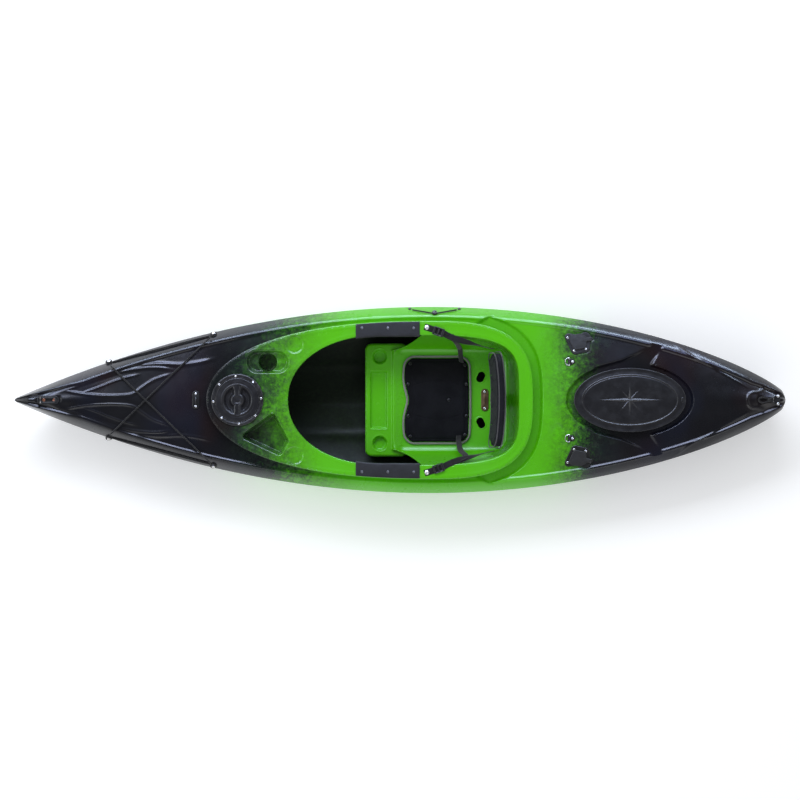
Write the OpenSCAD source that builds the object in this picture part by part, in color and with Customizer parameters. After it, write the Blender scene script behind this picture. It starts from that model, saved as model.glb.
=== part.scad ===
// Sit-inside touring kayak, about 3 m long, with moulded seat, deck rigging and hatches.
// X runs from bow (-) to stern (+), Y to starboard (+), Z up. Origin: midships on the keel's underside.
// Millimetres.

/* [Hull] */
// Overall length of the hull
hull_length = 3050; // [2900:10:3200]
// Greatest beam
hull_beam = 740; // [700:5:780]
// Wall of the rotationally moulded skin
wall = 5; // [4:0.5:6]
// Height of the side crease (sheer) at its lowest
sheer_low = 196; // [185:1:205]
// Rise of the sheer towards bow and stern
sheer_rise = 50; // [40:1:60]
// Upturn of the keel line at the bow
bow_rocker = 10; // [0:1:14]

/* [Coaming and seat] */
// Height of the flat top of the coaming and console
coaming_top = 286; // [283:1:290]
// Half width of the coaming's lip
coaming_half = 312; // [305:1:318]
// Half width of the cockpit opening
cockpit_half = 256; // [250:1:260]
// Height of the seat pan
seat_z = 88; // [80:1:96]
// Height of the shelf in front of the seat
shelf_z = 96; // [90:1:104]
// Lean of the backrest from vertical, in degrees
backrest_lean = 9; // [0:1:12]

/* [Hatches and holders] */
// Diameter of the round day hatch's deck ring
day_ring_d = 206; // [200:1:210]
// Length of the oval stern hatch's lid
stern_lid_length = 443; // [430:1:450]
// Width of the oval stern hatch's lid
stern_lid_width = 254; // [244:1:260]
// Inner diameter of the flush rod holders
rod_bore_d = 42; // [40:0.5:44]
// Diameter of the cup holder
cup_d = 76; // [72:1:80]
// Distance between the two threaded inserts of an accessory seat
insert_pitch = 48; // [44:1:52]

/* [Rigging] */
// Diameter of the shock cord
cord_d = 6; // [5:0.5:8]
// Width of the backrest webbing
webbing_w = 25; // [20:1:30]
// Distance between a foot brace rail's two bolts
brace_pitch = 370; // [360:1:376]

/* [Hidden] */
$fn = 48;
PORT = -1;
STARBOARD = 1;
half_length = hull_length / 2;
half_beam_max = hull_beam / 2;
fit = 0.3;               // gap between pieces that touch
clear = 500;             // reach of cutters that only have to pass right through

// ---- hull lines -------------------------------------------------------------

widest_x = 113;          // station of the greatest beam
stem_run = 340;          // length over which the keel climbs to the stem
transom_run = 115;       // length over which the keel climbs to the stern
keel_drop = 6;           // how far the keel strip stands below the skin
keel_half = 18;
bow_half = 6;            // half width of the stem
stern_half = 24;         // half width of the blunt stern
edge_round = 14;         // width of the turn from shoulder to deck

function smooth(t) = let(c = min(1, max(0, t))) c * c * (3 - 2 * c);

// Half beam at the sheer crease.
function half_beam(x) =
    x < widest_x
    ? bow_half + (half_beam_max - bow_half) * max(0, 1 - pow((widest_x - x) / (widest_x + half_length), 1.97))
    : stern_half + (half_beam_max - stern_half)
        * pow(max(0, 1 - pow((x - widest_x) / (half_length - widest_x), 2)), 0.8);

// Underside of the keel.
function keel_z(x) =
    let(from_bow = x + half_length, from_stern = half_length - x)
    bow_rocker * smooth(-x / 1200)
    + 232 * pow(max(0, 1 - from_bow / stem_run), 2.2)
    + 225 * pow(max(0, 1 - from_stern / transom_run), 2.5);

// Crease where the topsides turn into the deck's shoulder.
function sheer_z(x) =
    sheer_low + sheer_rise * (x < -500 ? pow((-500 - x) / (half_length - 500), 3)
                                       : pow((x + 500) / (half_length + 500), 2.4));

// Top of the deck's shoulder.
function shoulder_z(x) =
    let(from_bow = x + half_length, from_stern = half_length - x)
    sheer_z(x) + (49 + 14 * smooth((-x - 350) / 800) + 6 * smooth((-x - 1330) / 110)
                     - 12 * smooth((x - 300) / 500) - 8 * smooth((x - 850) / 300)
                     + 10 * smooth((x - 1150) / 180) - 9 * smooth((x - 1360) / 100))
        * pow(sin(90 * min(1, (from_bow + 4) / 84)), 0.8)
    - 22 * pow(max(0, 1 - from_stern / 26), 2.5);

function shoulder_in(x) = min(40, 0.35 * half_beam(x));

// Rise of the deck from its edge to the centreline.
function crown(x) =
    6 + 14 * smooth((x - 450) / 200) - 10 * smooth((x - 850) / 300)
    + 9 * smooth((-x - 620) / 200) - 9 * smooth((-x - 1050) / 250);

// Half width of the deck inside its rounded edge.
function deck_half(x) =
    let(b = half_beam(x)) max(0.5, b - shoulder_in(x) - min(edge_round, 0.3 * b));

// Exponent of the underwater section: boxy amidships, V-shaped at the ends.
function fullness(x) =
    let(t = x < widest_x ? (widest_x - x) / (widest_x + half_length)
                         : (x - widest_x) / (half_length - widest_x))
    1.35 + 1.75 * (1 - pow(min(1, t), 2.4));

// Height of the deck at a distance y off the centreline.
function deck_z(x, y) =
    shoulder_z(x) - 5 + (5 + crown(x)) * (1 - pow(min(1, abs(y) / deck_half(x)), 2));

// Height of the upper skin anywhere inside the sheer crease.
function upper_z(x, y) =
    let(inner = half_beam(x) - shoulder_in(x), out = (abs(y) - inner) / shoulder_in(x),
        drop = shoulder_z(x) - sheer_z(x))
    out <= 0 ? max(deck_z(x, y), shoulder_z(x) - 5)
             : shoulder_z(x) - drop * min(1, out) * (0.55 + 0.45 * min(1, out));

// Half section from keel to deck centre, moved in by t.
function half_section(x, t) =
    let(b = half_beam(x) - t, k = keel_z(x) + keel_drop + t, s = sheer_z(x),
        g = shoulder_z(x) - t, n = fullness(x), i = shoulder_in(x),
        e = deck_half(x + (x > 0 ? t : -t)) - t / 2)
    [for (a = [0:10:90]) [b * pow(sin(a), 2 / n), s - (s - k) * pow(cos(a), 2 / n)],
     [b - 0.33 * i, s + 0.45 * (g - s)], [b - 0.66 * i, s + 0.81 * (g - s)], [b - i, g],
     for (f = [1, 0.66, 0.33, 0]) [max(0.3, e) * f, deck_z(x, deck_half(x) * f) - t]];

function ring(x, t) =
    let(h = half_section(x, t), n = len(h))
    [for (p = h) [x, p[0], p[1]], for (i = [n - 2:-1:1]) [x, -h[i][0], h[i][1]]];

// Solid through rings that all have the same number of points.
module loft(rings) {
    n = len(rings[0]);
    m = len(rings);
    polyhedron(
        points = [for (r = rings) each r],
        faces = [
            [for (i = [0:n - 1]) i],
            for (j = [0:m - 2], i = [0:n - 1])
                let(a = j * n + i, b = j * n + (i + 1) % n, c = b + n, d = a + n)
                each [[a, d, b], [b, d, c]],
            [for (i = [n - 1:-1:0]) (m - 1) * n + i]]);
}

// Stations gather towards both ends, where the lines curve most.
function stations(reach, count) =
    [for (i = [0:count]) -reach * (1 - 0.03 * sin(180 * i / count)) * cos(180 * i / count)];

module skin(t, count) {
    loft([for (x = stations(half_length - t, count)) ring(x, t)]);
}

module keel_strip() {
    loft([for (x = stations(half_length - 4, 30))
        let(w = min(keel_half, half_beam(x) - 2), low = keel_z(x), high = min(low + 22, sheer_z(x)))
        [[x, -w * 0.8, low], [x, w * 0.8, low], [x, w, low + 3],
         [x, w, high], [x, -w, high], [x, -w, low + 3]]]);
}

// ---- plan outlines ----------------------------------------------------------

// Half of an egg outline: its own length and power before and behind the widest station.
function half_egg(front, wide, rear, half, front_power, rear_power, grow) =
    [for (a = [0:7.5:180])
        a <= 90
        ? [wide - (wide - front + grow) * pow(max(0, cos(a)), 2 / front_power),
           (half + grow) * pow(sin(a), 0.95)]
        : [wide + (rear - wide + grow) * pow(-cos(a), 2 / rear_power),
           (half + grow) * pow(max(0, sin(a)), 2 / rear_power)]];

module egg(front, wide, rear, half, front_power, rear_power, grow) {
    side = half_egg(front, wide, rear, half, front_power, rear_power, grow);
    polygon([each side, for (i = [len(side) - 2:-1:1]) [side[i][0], -side[i][1]]]);
}

console_front = -764;
coaming_rear = 525;
cockpit_front = -442;
cockpit_rear = 470;
console_rise = 11;       // how far the console stands above the rest of the coaming
console_z = coaming_top + console_rise;
lip = 14;                // overhang and height of the coaming's lip

module coaming_outline(grow = 0) egg(console_front, 110, coaming_rear, coaming_half, 2.35, 3, grow);
module cockpit_outline(grow = 0) egg(cockpit_front, -60, cockpit_rear, cockpit_half, 2.2, 4.5, grow);

// Top of the coaming, which climbs to the console.
function top_z(x) = coaming_top + console_rise * smooth((-x - 260) / 240);

// Everything below the coaming's top, lowered by drop.
module under_coaming_top(drop) {
    rotate([90, 0, 0])
        linear_extrude(2 * clear, center = true)
            polygon([[-900, 100],
                for (x = [-900, for (i = [-520:40:-240]) i, 700]) [x, top_z(x) - drop],
                [700, 100]]);
}

module rounded_box(x0, x1, half, r) {
    hull()
        for (x = [x0 + r, x1 - r], y = [-half + r, half - r])
            translate([x, y]) circle(r, $fn = 24);
}

module oval(a, b) polygon([for (t = [0:7.5:359]) [a * cos(t), b * sin(t)]]);

// ---- places -----------------------------------------------------------------

shelf_front = -139;
shelf_rear = -28;
shelf_half = 226;
seat_rear = 425;
seat_half = 200;
sill_x = 92;             // where the seat's sides meet the coaming

day_x = -641;
cup_x = -522;
cup_y = 150;
insert_x = -417;
insert_y = 219;
insert_seat_r = 36;
insert_floor_z = top_z(insert_x + insert_seat_r) - 3;
console_deep = 60;

stern_x = 908;
stern_floor_z = 248;
stern_rim_z = 268;
rim_a = 202;             // half length and half width of the stern hatch's rim
rim_b = 107;
rod_x = 705;
rod_y = 229;
rod_rake = 30;           // rake of the rod holder's tube from vertical
tie_x = 680;
tie_y = 151;
bow_handle_x = -1388;
stern_handle_x = 1489;
pad_eye_x = -807;
deck_flat = 1.5;         // depth of the flats under deck fittings
bow_flat = 4;            // and of the one under the bow handle, where the deck is narrow

// Frame of a deck fitting: origin on its flat, z along the deck's normal.
module on_deck(x, y, sink = deck_flat) {
    slope_x = (deck_z(x + 20, y) - deck_z(x - 20, y)) / 40;
    slope_y = (deck_z(x, y + 10) - deck_z(x, y - 10)) / 20;
    translate([x, y, deck_z(x, y) - sink]) rotate([atan(slope_y), -atan(slope_x), 0]) children();
}

// ---- hollows in the upper skin ----------------------------------------------

// Seat bucket: funnels from the cockpit rim down to the pan.
module bucket(t) {
    hull() {
        translate([0, 0, seat_z - t]) linear_extrude(1)
            rounded_box(shelf_rear - t, seat_rear + t, seat_half + t, 50);
        translate([0, 0, coaming_top]) linear_extrude(clear)
            intersection() {
                cockpit_outline(t);
                translate([shelf_rear + 40 - t, -clear]) square([clear, 2 * clear]);
            }
    }
}

module shelf_space(t) {
    translate([0, 0, shelf_z - t]) linear_extrude(clear)
        rounded_box(shelf_front - t, shelf_rear + 60, shelf_half + t, 24);
    for (y = [-174, 174])
        translate([-81, y, shelf_z - 22 - t]) cylinder(h = clear, r = 30 + t, $fn = 24);
    translate([-120 - t, -115 - t, shelf_z - 12 - t]) cube([69 + 2 * t, 230 + 2 * t, clear]);
}

// Cup holder in its long dish, three-cornered tray, two accessory seats.
module console_hollows(t) {
    translate([cup_x, cup_y, console_z - 28 - t]) linear_extrude(clear)
        hull() for (x = [-39.5, 39.5]) translate([x, 0]) circle(45 + t, $fn = 32);
    translate([cup_x, cup_y, console_z - 90 - t]) cylinder(h = clear, r = cup_d / 2 + t, $fn = 32);
    translate([0, 0, console_z - console_deep - t]) linear_extrude(clear)
        hull()
            for (p = [[-503, -68], [-607, -142], [-477, -203], [-453, -160]])
                translate(p) circle(15 + t, $fn = 24);
    for (y = [-insert_y, insert_y])
        translate([insert_x, y, insert_floor_z - t]) cylinder(h = clear, r = insert_seat_r + t, $fn = 32);
}

wing_round = 8;
wing_outline = [
    [776, 124], [880, 154], [949, 185], [1013, 224], [1050, 262], [1070, 262], [992, 144], [980, 110]
];

// Moat round the stern hatch with its two drain wings, which widen towards the moat.
module stern_moat(t) {
    translate([stern_x, 0, stern_floor_z - t]) linear_extrude(clear) oval(254 + t, 150 + t);
    for (s = [PORT, STARBOARD])
        translate([0, 0, stern_floor_z - t]) linear_extrude(clear)
            mirror([0, s < 0 ? 1 : 0]) offset(r = wing_round + t, $fn = 20) polygon(wing_outline);
}

moat_front = [320, 316];    // a point on the slanting line where the moat starts
moat_slant = 30;

// Moat behind the coaming with a notch to each gunwale, both starting on a slanting line.
module coaming_moat(t) {
    translate([0, 0, 236 - t]) linear_extrude(30 + t)
        difference() {
            coaming_outline(40 + t);
            coaming_outline(-lip - t + 0.3);
            for (s = [PORT, STARBOARD])
                mirror([0, s < 0 ? 1 : 0]) translate(moat_front) rotate(moat_slant)
                    translate([-4 * clear, t]) square([8 * clear, 4 * clear]);
        }
    for (s = [PORT, STARBOARD])
        translate([0, 0, 238 - t]) linear_extrude(30 + t)
            hull() {
                translate([334, 313 * s]) circle(10 + t, $fn = 16);
                translate([378, 340 * s]) circle(9 + t, $fn = 16);
            }
}

// Shallow grooves along the bottom, which stand up as ridges in the footwell.
module grooves(t) {
    for (y = [-143, 143])
        hull()
            for (x = [-960, 1040])
                translate([x, y, -30]) sphere(r = 44 + t, $fn = 20);
}

module fitting_flats(t) {
    for (s = [PORT, STARBOARD]) {
        on_deck(rod_x, s * rod_y) translate([0, 0, -t])
            mirror([0, s < 0 ? 1 : 0, 0]) linear_extrude(60) rod_flange_outline(t + 2, 16);
        on_deck(tie_x, s * tie_y) translate([0, 0, -t]) cylinder(h = 60, r = 21 + t, $fn = 16);
    }
    on_deck(bow_handle_x, 0, bow_flat) translate([0, 0, -t]) cylinder(h = 60, r = 50 + t, $fn = 24);
    on_deck(pad_eye_x, 0) translate([0, 0, -t]) cylinder(h = 60, r = 44 + t, $fn = 16);
    on_deck(stern_handle_x - 30, 0) translate([0, 0, -t]) cylinder(h = 60, r = 52 + t, $fn = 24);
}

module hollows(t) {
    bucket(t);
    shelf_space(t);
    console_hollows(t);
    stern_moat(t);
    coaming_moat(t);
    grooves(t);
    fitting_flats(t);
}

// Coaming and console: a raised deck with an overhanging lip.
module coaming_block(t) {
    intersection() {
        translate([0, 0, 215]) linear_extrude(clear) coaming_outline(-lip - t);
        under_coaming_top(t);
    }
    if (t == 0)
        difference() {
            intersection() {
                translate([0, 0, 215]) linear_extrude(clear) coaming_outline();
                under_coaming_top(0);
            }
            under_coaming_top(lip);
        }
}

// Boss that carries the stern handle's base above the narrowing deck.
module stern_boss() {
    on_deck(stern_handle_x - 30, 0)
        translate([30, 0, -16]) linear_extrude(16) stern_base_outline(2);
}

module stern_rim() {
    translate([stern_x, 0, stern_floor_z - wall]) linear_extrude(stern_rim_z - stern_floor_z + wall)
        difference() {
            oval(rim_a, rim_b);
            oval(rim_a - wall, rim_b - wall);
        }
}

// Everything cut right through the skin.
module openings() {
    translate([0, 0, 60]) linear_extrude(clear)
        difference() {
            intersection() {
                cockpit_outline(-0.2);
                translate([sill_x - 1000, -clear]) square([1000, 2 * clear]);
            }
            rounded_box(shelf_front + 0.2, shelf_rear + 50, shelf_half - 0.2, 24);
            hull() {
                rounded_box(shelf_rear + 0.2, seat_rear, seat_half - 0.2, 50);
                translate([sill_x, 0]) square([2, 2 * cockpit_half + 4], center = true);
            }
        }
    translate([day_x, 0, 200]) cylinder(h = clear, r = 84);
    translate([stern_x, 0, 200]) linear_extrude(clear) oval(rim_a - wall, rim_b - wall);
    for (s = [PORT, STARBOARD]) {
        rod_holder_tube_place(s) cylinder(h = 120, r = rod_bore_d / 2 + 6, center = true, $fn = 24);
        translate([324, s * 92, 60]) linear_extrude(60)
            rotate(s * -25) hull() for (y = [-7, 7]) translate([0, y]) circle(15, $fn = 16);
        for (p = [-1, 1])
            foot_bolt_place(s, p) cylinder(h = 60, r = 3.3, center = true, $fn = 13);
        for (y = [-1, 1])
            translate([insert_x, s * insert_y + y * insert_pitch / 2, 240])
                cylinder(h = 80, r = 4.2, $fn = 13);
    }
}

module hull_moulding() {
    color("limegreen")
        resize([0, 0, 0])
            difference() {
                union() {
                    skin(0, 34);
                    keel_strip();
                    coaming_block(0);
                    stern_boss();
                }
                difference() {
                    union() {
                        skin(wall, 26);
                        coaming_block(wall);
                    }
                    hollows(wall);
                    stern_rim();
                }
                difference() {
                    hollows(0);
                    stern_rim();
                }
                openings();
            }
}

// ---- inside the hull --------------------------------------------------------

bulkhead_x = 505;
bulkhead_t = 40;

module stern_bulkhead() {
    color("dimgray")
        resize([0, 0, 0])
            difference() {
                intersection() {
                    skin(wall + 1.5, 26);
                    translate([bulkhead_x, -clear, 0]) cube([bulkhead_t, 2 * clear, 228]);
                }
                grooves(wall + 1);
            }
}

module bow_float() {
    color("gainsboro")
        resize([0, 0, 0])
            intersection() {
                skin(wall + 2, 26);
                translate([-1290, -30, 20]) cube([180, 60, clear]);
            }
}

module seat_support_foam() {
    color("dimgray")
        translate([60, -50, keel_drop + wall + 1.4])
            difference() {
                cube([200, 100, seat_z - wall - keel_drop - wall - 1.9]);
                translate([40, -1, 20]) cube([120, 102, 30]);
            }
}

// ---- day hatch --------------------------------------------------------------

day_bore_r = 79;
day_lid_skirt_r = day_bore_r - 0.06;

module day_hatch_gasket() {
    color("black")
        difference() {
            translate([day_x, 0, console_z + 0.1]) cylinder(h = 1.5, r = day_ring_d / 2 - 2);
            translate([day_x, 0, console_z - 1]) cylinder(h = 4, r = 84.2);
            day_screw_places() cylinder(h = 20, r = 2.5, center = true, $fn = 16);
        }
}

module day_screw_places() {
    for (a = [0:45:315])
        translate([day_x, 0, console_z]) rotate(a + 4) translate([94, 0, 0]) children();
}

module day_hatch_ring() {
    r = day_ring_d / 2;
    color("black")
        difference() {
            translate([day_x, 0, console_z])
                rotate_extrude($fn = 96)
                    polygon([[day_bore_r, -26], [83.4, -26], [83.4, 1.7], [r, 1.7], [r, 5], [r - 2.5, 7.5],
                             [87, 7.5], [87, 3], [day_bore_r, 3]]);
            day_screw_places() cylinder(h = 20, r = 2.4, center = true, $fn = 16);
        }
}

module day_hatch_screws() {
    color("silver")
        day_screw_places() {
            translate([0, 0, 7.5]) cylinder(h = 2.2, r1 = 4.4, r2 = 3.2, $fn = 24);
            translate([0, 0, -12]) cylinder(h = 20, r = 2.2, $fn = 16);
        }
}

module day_hatch_seal() {
    color("dimgray")
        translate([day_x, 0, console_z + 4.45])
            rotate_extrude($fn = 96)
                translate([83, 0]) circle(d = 2.7, $fn = 24);
}

module day_hatch_lid() {
    color("black")
        translate([day_x, 0, console_z])
            difference() {
                rotate_extrude($fn = 96)
                    polygon([[0, -12], [76, -12], [day_lid_skirt_r, -9], [day_lid_skirt_r, 5.9], [86, 5.9],
                             [86, 8.3], [84.5, 9.5], [60, 10.5], [0, 10.5]]);
                translate([0, 0, -13]) cylinder(h = 4, r = 72);
                difference() {
                    translate([0, 0, -5]) cylinder(h = 20, r = 56);
                    translate([0, 0, -6]) cylinder(h = 22, r = 21);
                    translate([-10, -60, -6]) cube([20, 120, 22]);
                }
            }
}

// ---- stern hatch ------------------------------------------------------------

module stern_hatch_lid() {
    a = stern_lid_length / 2;
    b = stern_lid_width / 2;
    color("black")
        translate([stern_x, 0, stern_rim_z + 2.9]) {
            linear_extrude(6) oval(a, b);
            translate([0, 0, 6]) linear_extrude(3) oval(190, 100);
            translate([0, 0, -18]) linear_extrude(18)
                difference() {
                    oval(rim_a + 8, rim_b + 8);
                    oval(rim_a + 3, rim_b + 3);
                }
        }
}

module stern_hatch_seal() {
    color("dimgray")
        translate([stern_x, 0, stern_rim_z + 0.3])
            linear_extrude(2.4)
                difference() {
                    oval(rim_a, rim_b);
                    oval(rim_a - wall, rim_b - wall);
                }
}

// ---- console and seat fittings ----------------------------------------------

module accessory_inserts() {
    color("goldenrod")
        for (s = [PORT, STARBOARD], y = [-1, 1])
            translate([insert_x, s * insert_y + y * insert_pitch / 2, insert_floor_z])
                difference() {
                    union() {
                        translate([0, 0, 0.1]) cylinder(h = 0.8, r = 5.5);
                        translate([0, 0, -12]) cylinder(h = 12.5, r = 4.1);
                    }
                    translate([0, 0, -13]) cylinder(h = 16, r = 2.5);
                }
}

pad_front = 13;
pad_rear = 286;
pad_half = 178;
pad_t = 17;

module seat_pad() {
    color("black")
        translate([0, 0, seat_z + fit])
            linear_extrude(pad_t)
                difference() {
                    rounded_box(pad_front, pad_rear, pad_half, 42);
                    translate([pad_front - 70, 0]) circle(80);
                }
}

rivet_places = [for (s = [PORT, STARBOARD]) each
    [[pad_front + 28, s * 146], [pad_front + 20, s * 64], [pad_rear - 26, s * 140], [pad_rear - 20, s * 63]],
    [196, 0]];

module seat_pad_rivets() {
    color("dimgray")
        for (p = rivet_places)
            translate([p[0], p[1], seat_z + fit + pad_t + 0.1]) cylinder(h = 2, r1 = 6, r2 = 4.5, $fn = 24);
}

back_x = 364;            // backrest's tilt axis
back_pivot_z = 100;
back_low = 52;           // bottom and top of the backrest above its axis
back_high = 224;
back_half = 194;
back_t = 34;
back_curve_r = 1150;     // plan radius of the backrest's curve

module backrest_frame() {
    translate([back_x, 0, back_pivot_z]) rotate([0, backrest_lean, 0]) children();
}

module backrest() {
    color("black")
        backrest_frame()
            intersection() {
                translate([22 - back_curve_r, 0, 0])
                    difference() {
                        cylinder(h = back_high + 60, r = back_curve_r, $fn = 180);
                        translate([0, 0, -1])
                            cylinder(h = back_high + 62, r = back_curve_r - back_t, $fn = 180);
                    }
                translate([clear / 2, 0, 0]) rotate([0, -90, 0]) linear_extrude(clear)
                    rounded_box(back_low, back_high, back_half, 45);
            }
}

module backrest_bracket() {
    color("silver")
        translate([340, 0, seat_z + fit])
            difference() {
                linear_extrude(2.5) hull() for (y = [-30, 30]) translate([0, y]) circle(15);
                for (y = [-33, 33]) translate([0, y, -1]) cylinder(h = 6, r = 3);
            }
}

module backrest_bracket_screws() {
    color("silver")
        for (y = [-33, 33])
            translate([340, y, seat_z + 2.9]) {
                cylinder(h = 3, r1 = 6, r2 = 4.5, $fn = 24);
                translate([0, 0, -14]) cylinder(h = 14.5, r = 2.6, $fn = 24);
            }
}

// Webbing tongue that carries the backrest and bends at the bracket.
module backrest_hinge_strap() {
    color("black")
        backrest_frame()
            translate([-1, -25, -2]) cube([2, 50, back_low + 30]);
}

strap_start = [106, 286];
strap_bend = [214, 240];
strap_end = [368, 203];

function strap_point(s, p, z) = [p[0], s * p[1], z];
strap_z = coaming_top + 1.6;

module strap_piece(s, p, z, size) {
    translate(strap_point(s, p, z)) rotate([0, 0, s * -18]) cube(size, center = true);
}

module backrest_strap(s) {
    color("black")
        difference() {
            union() {
                hull() {
                    strap_piece(s, strap_start, strap_z, [24, webbing_w, 2]);
                    strap_piece(s, strap_bend, strap_z, [4, webbing_w, 2]);
                }
                hull() {
                    strap_piece(s, strap_bend, strap_z, [4, webbing_w, 2]);
                    strap_piece(s, strap_end, 236, [4, 2, webbing_w]);
                }
            }
            translate(strap_point(s, strap_start, 0)) cylinder(h = clear, r = 3.2);
        }
}

module backrest_strap_port() backrest_strap(PORT);
module backrest_strap_starboard() backrest_strap(STARBOARD);

module strap_buckles() {
    color("black")
        for (s = [PORT, STARBOARD])
            translate(strap_point(s, [152, 269.4], strap_z + 1.3)) rotate([0, 0, s * -19]) {
                difference() {
                    translate([-22, -17, 0]) cube([44, 34, 7]);
                    for (x = [-13, 3]) translate([x, -13, -1]) cube([10, 26, 9]);
                }
            }
}

module strap_anchor_screws() {
    color("silver")
        for (s = [PORT, STARBOARD])
            translate(strap_point(s, strap_start, strap_z + 1.1)) {
                cylinder(h = 1.5, r = 9);
                translate([0, 0, 1.5]) cylinder(h = 3, r1 = 6, r2 = 4);
                translate([0, 0, -20]) cylinder(h = 21, r = 3);
            }
}

pad_x0 = -175;
pad_x1 = 78;

module thigh_pad(s) {
    color("black")
        difference() {
            union() {
                translate([0, 0, coaming_top + fit]) linear_extrude(6)
                    intersection() {
                        difference() {
                            coaming_outline(-2);
                            cockpit_outline(-7);
                        }
                        translate([pad_x0, s > 0 ? 0 : -clear]) square([pad_x1 - pad_x0, clear]);
                    }
                translate([0, 0, coaming_top - 42]) linear_extrude(42 + fit + 1)
                    intersection() {
                        difference() {
                            cockpit_outline(-0.6);
                            cockpit_outline(-7);
                        }
                        translate([pad_x0, s > 0 ? 0 : -clear]) square([pad_x1 - pad_x0 - 22, clear]);
                    }
            }
            thigh_screw_places(s) cylinder(h = 30, r = 3, center = true);
        }
}

module thigh_screw_places(s) {
    for (x = [-150, -48, 54])
        translate([x, s * 284, coaming_top + 6]) children();
}

module thigh_pad_port() thigh_pad(PORT);
module thigh_pad_starboard() thigh_pad(STARBOARD);

module thigh_pad_screws() {
    color("dimgray")
        for (s = [PORT, STARBOARD])
            thigh_screw_places(s) {
                translate([0, 0, 0.5]) cylinder(h = 2, r1 = 5.5, r2 = 4, $fn = 24);
                translate([0, 0, -20]) cylinder(h = 21, r = 2.4, $fn = 16);
            }
}

// ---- bow rigging ------------------------------------------------------------

eye_front = [-1155, 147];
eye_rear = [-740, 258];
eye_tilt = 42;           // the shoulder's slope under the eyes

module eye_place(s, p) {
    translate([p[0], s * p[1], upper_z(p[0], p[1])]) rotate([s * -eye_tilt, 0, 0]) children();
}

module each_eye() {
    for (s = [PORT, STARBOARD], p = [eye_front, eye_rear])
        eye_place(s, p) children();
}

module bungee_eyes() {
    color("black")
        each_eye()
            difference() {
                union() {
                    translate([0, 0, -1]) cylinder(h = 3.5, r = 13, $fn = 32);
                    translate([0, 0, 2]) cylinder(h = 10, r1 = 11, r2 = 8, $fn = 32);
                }
                translate([0, 0, -5]) cylinder(h = 30, r = 2.6, $fn = 16);
            }
}

module bungee_eye_screws() {
    color("silver")
        each_eye() {
            translate([0, 0, 12.2]) cylinder(h = 3, r1 = 7, r2 = 4.5, $fn = 24);
            translate([0, 0, -12]) cylinder(h = 24.5, r = 2.4, $fn = 16);
        }
}

// Where a cord that leaves an eye towards target starts: beside the eye's neck.
function cord_exit(s, p, target) =
    let(dx = target[0] - p[0], dy = target[1] - s * p[1], n = norm([dx, dy]))
    [p[0] + 19 * dx / n, s * p[1] + 19 * dy / n];

// Cord over the deck from a to b in plan, held clear of the skin: it takes the height that the skin
// has a little way inboard, so that it bridges the shoulder.
module deck_cord(a, b, steps, lift, inboard = 0) {
    r = cord_d / 2;
    pts = [for (i = [0:steps])
        let(x = a[0] + (b[0] - a[0]) * i / steps, y = a[1] + (b[1] - a[1]) * i / steps)
        [x, y, upper_z(x, sign(y) * max(0, abs(y) - inboard)) + r + lift]];
    for (i = [0:steps - 1])
        hull() {
            translate(pts[i]) sphere(r, $fn = 8);
            translate(pts[i + 1]) sphere(r, $fn = 8);
        }
}

cord_lift = 5.5;         // gap between the bow cords and the skin
park_lift = 4.2;         // and under the paddle cord
bridge_in = 14;          // how far inboard the crossing cords take their height

module bow_bungee() {
    color("black")
        for (s = [PORT, STARBOARD]) {
            front = [eye_front[0], s * eye_front[1]];
            rear = [eye_rear[0], s * eye_rear[1]];
            across = [eye_rear[0], -s * eye_rear[1]];
            deck_cord(cord_exit(s, eye_front, rear), cord_exit(s, eye_rear, front), 6, cord_lift);
            deck_cord(cord_exit(s, eye_front, across), cord_exit(-s, eye_rear, front),
                12, cord_lift, bridge_in);
        }
}

module bow_pad_eye() {
    color("black")
        on_deck(pad_eye_x, 0)
            difference() {
                union() {
                    translate([0, 0, 0.1]) linear_extrude(5) hull()
                        for (y = [-22, 22]) translate([0, y]) circle(14);
                    translate([-4, 0, 4]) rotate([0, 90, 0]) cylinder(h = 8, r = 17);
                }
                translate([-20, 0, 6]) rotate([0, 90, 0]) cylinder(h = 40, r = 10.5);
                translate([-clear, -clear, -clear]) cube([2 * clear, 2 * clear, clear + 0.1]);
                for (y = [-25, 25]) translate([0, y, -1]) cylinder(h = 30, r = 2.6);
            }
}

module bow_pad_eye_screws() {
    color("silver")
        on_deck(pad_eye_x, 0)
            for (y = [-25, 25])
                translate([0, y, 5.2]) {
                    cylinder(h = 2.6, r1 = 5, r2 = 3.6, $fn = 24);
                    translate([0, 0, -17]) cylinder(h = 17.5, r = 2.4, $fn = 16);
                }
}

// ---- carry handles ----------------------------------------------------------

bail_pivot = [-30, 11.5];  // pivot of the bow handle's bail, along the base and up

module bow_handle_base() {
    color("black")
        on_deck(bow_handle_x, 0, bow_flat)
            difference() {
                union() {
                    translate([0, 0, 0.1]) linear_extrude(4)
                        hull() for (x = [-26, 26]) translate([x, 0]) circle(17);
                    for (y = [-1, 1])
                        translate([bail_pivot[0], y * 13 - 2.5, 3]) {
                            translate([-5, 0, 0]) cube([10, 5, bail_pivot[1] - 3]);
                            translate([0, 0, bail_pivot[1] - 3]) rotate([-90, 0, 0]) cylinder(h = 5, r = 5);
                        }
                }
                translate([bail_pivot[0], 30, bail_pivot[1]]) rotate([90, 0, 0]) cylinder(h = 60, r = 2.55);
                for (x = [-16, 24]) translate([x, 0, -1]) cylinder(h = 20, r = 3);
            }
}

module bow_handle_screws() {
    color("silver")
        on_deck(bow_handle_x, 0, bow_flat)
            for (x = [-16, 24])
                translate([x, 0, 4.2]) {
                    cylinder(h = 2.6, r1 = 6, r2 = 4, $fn = 24);
                    translate([0, 0, -18]) cylinder(h = 18.5, r = 2.7, $fn = 24);
                }
}

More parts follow.
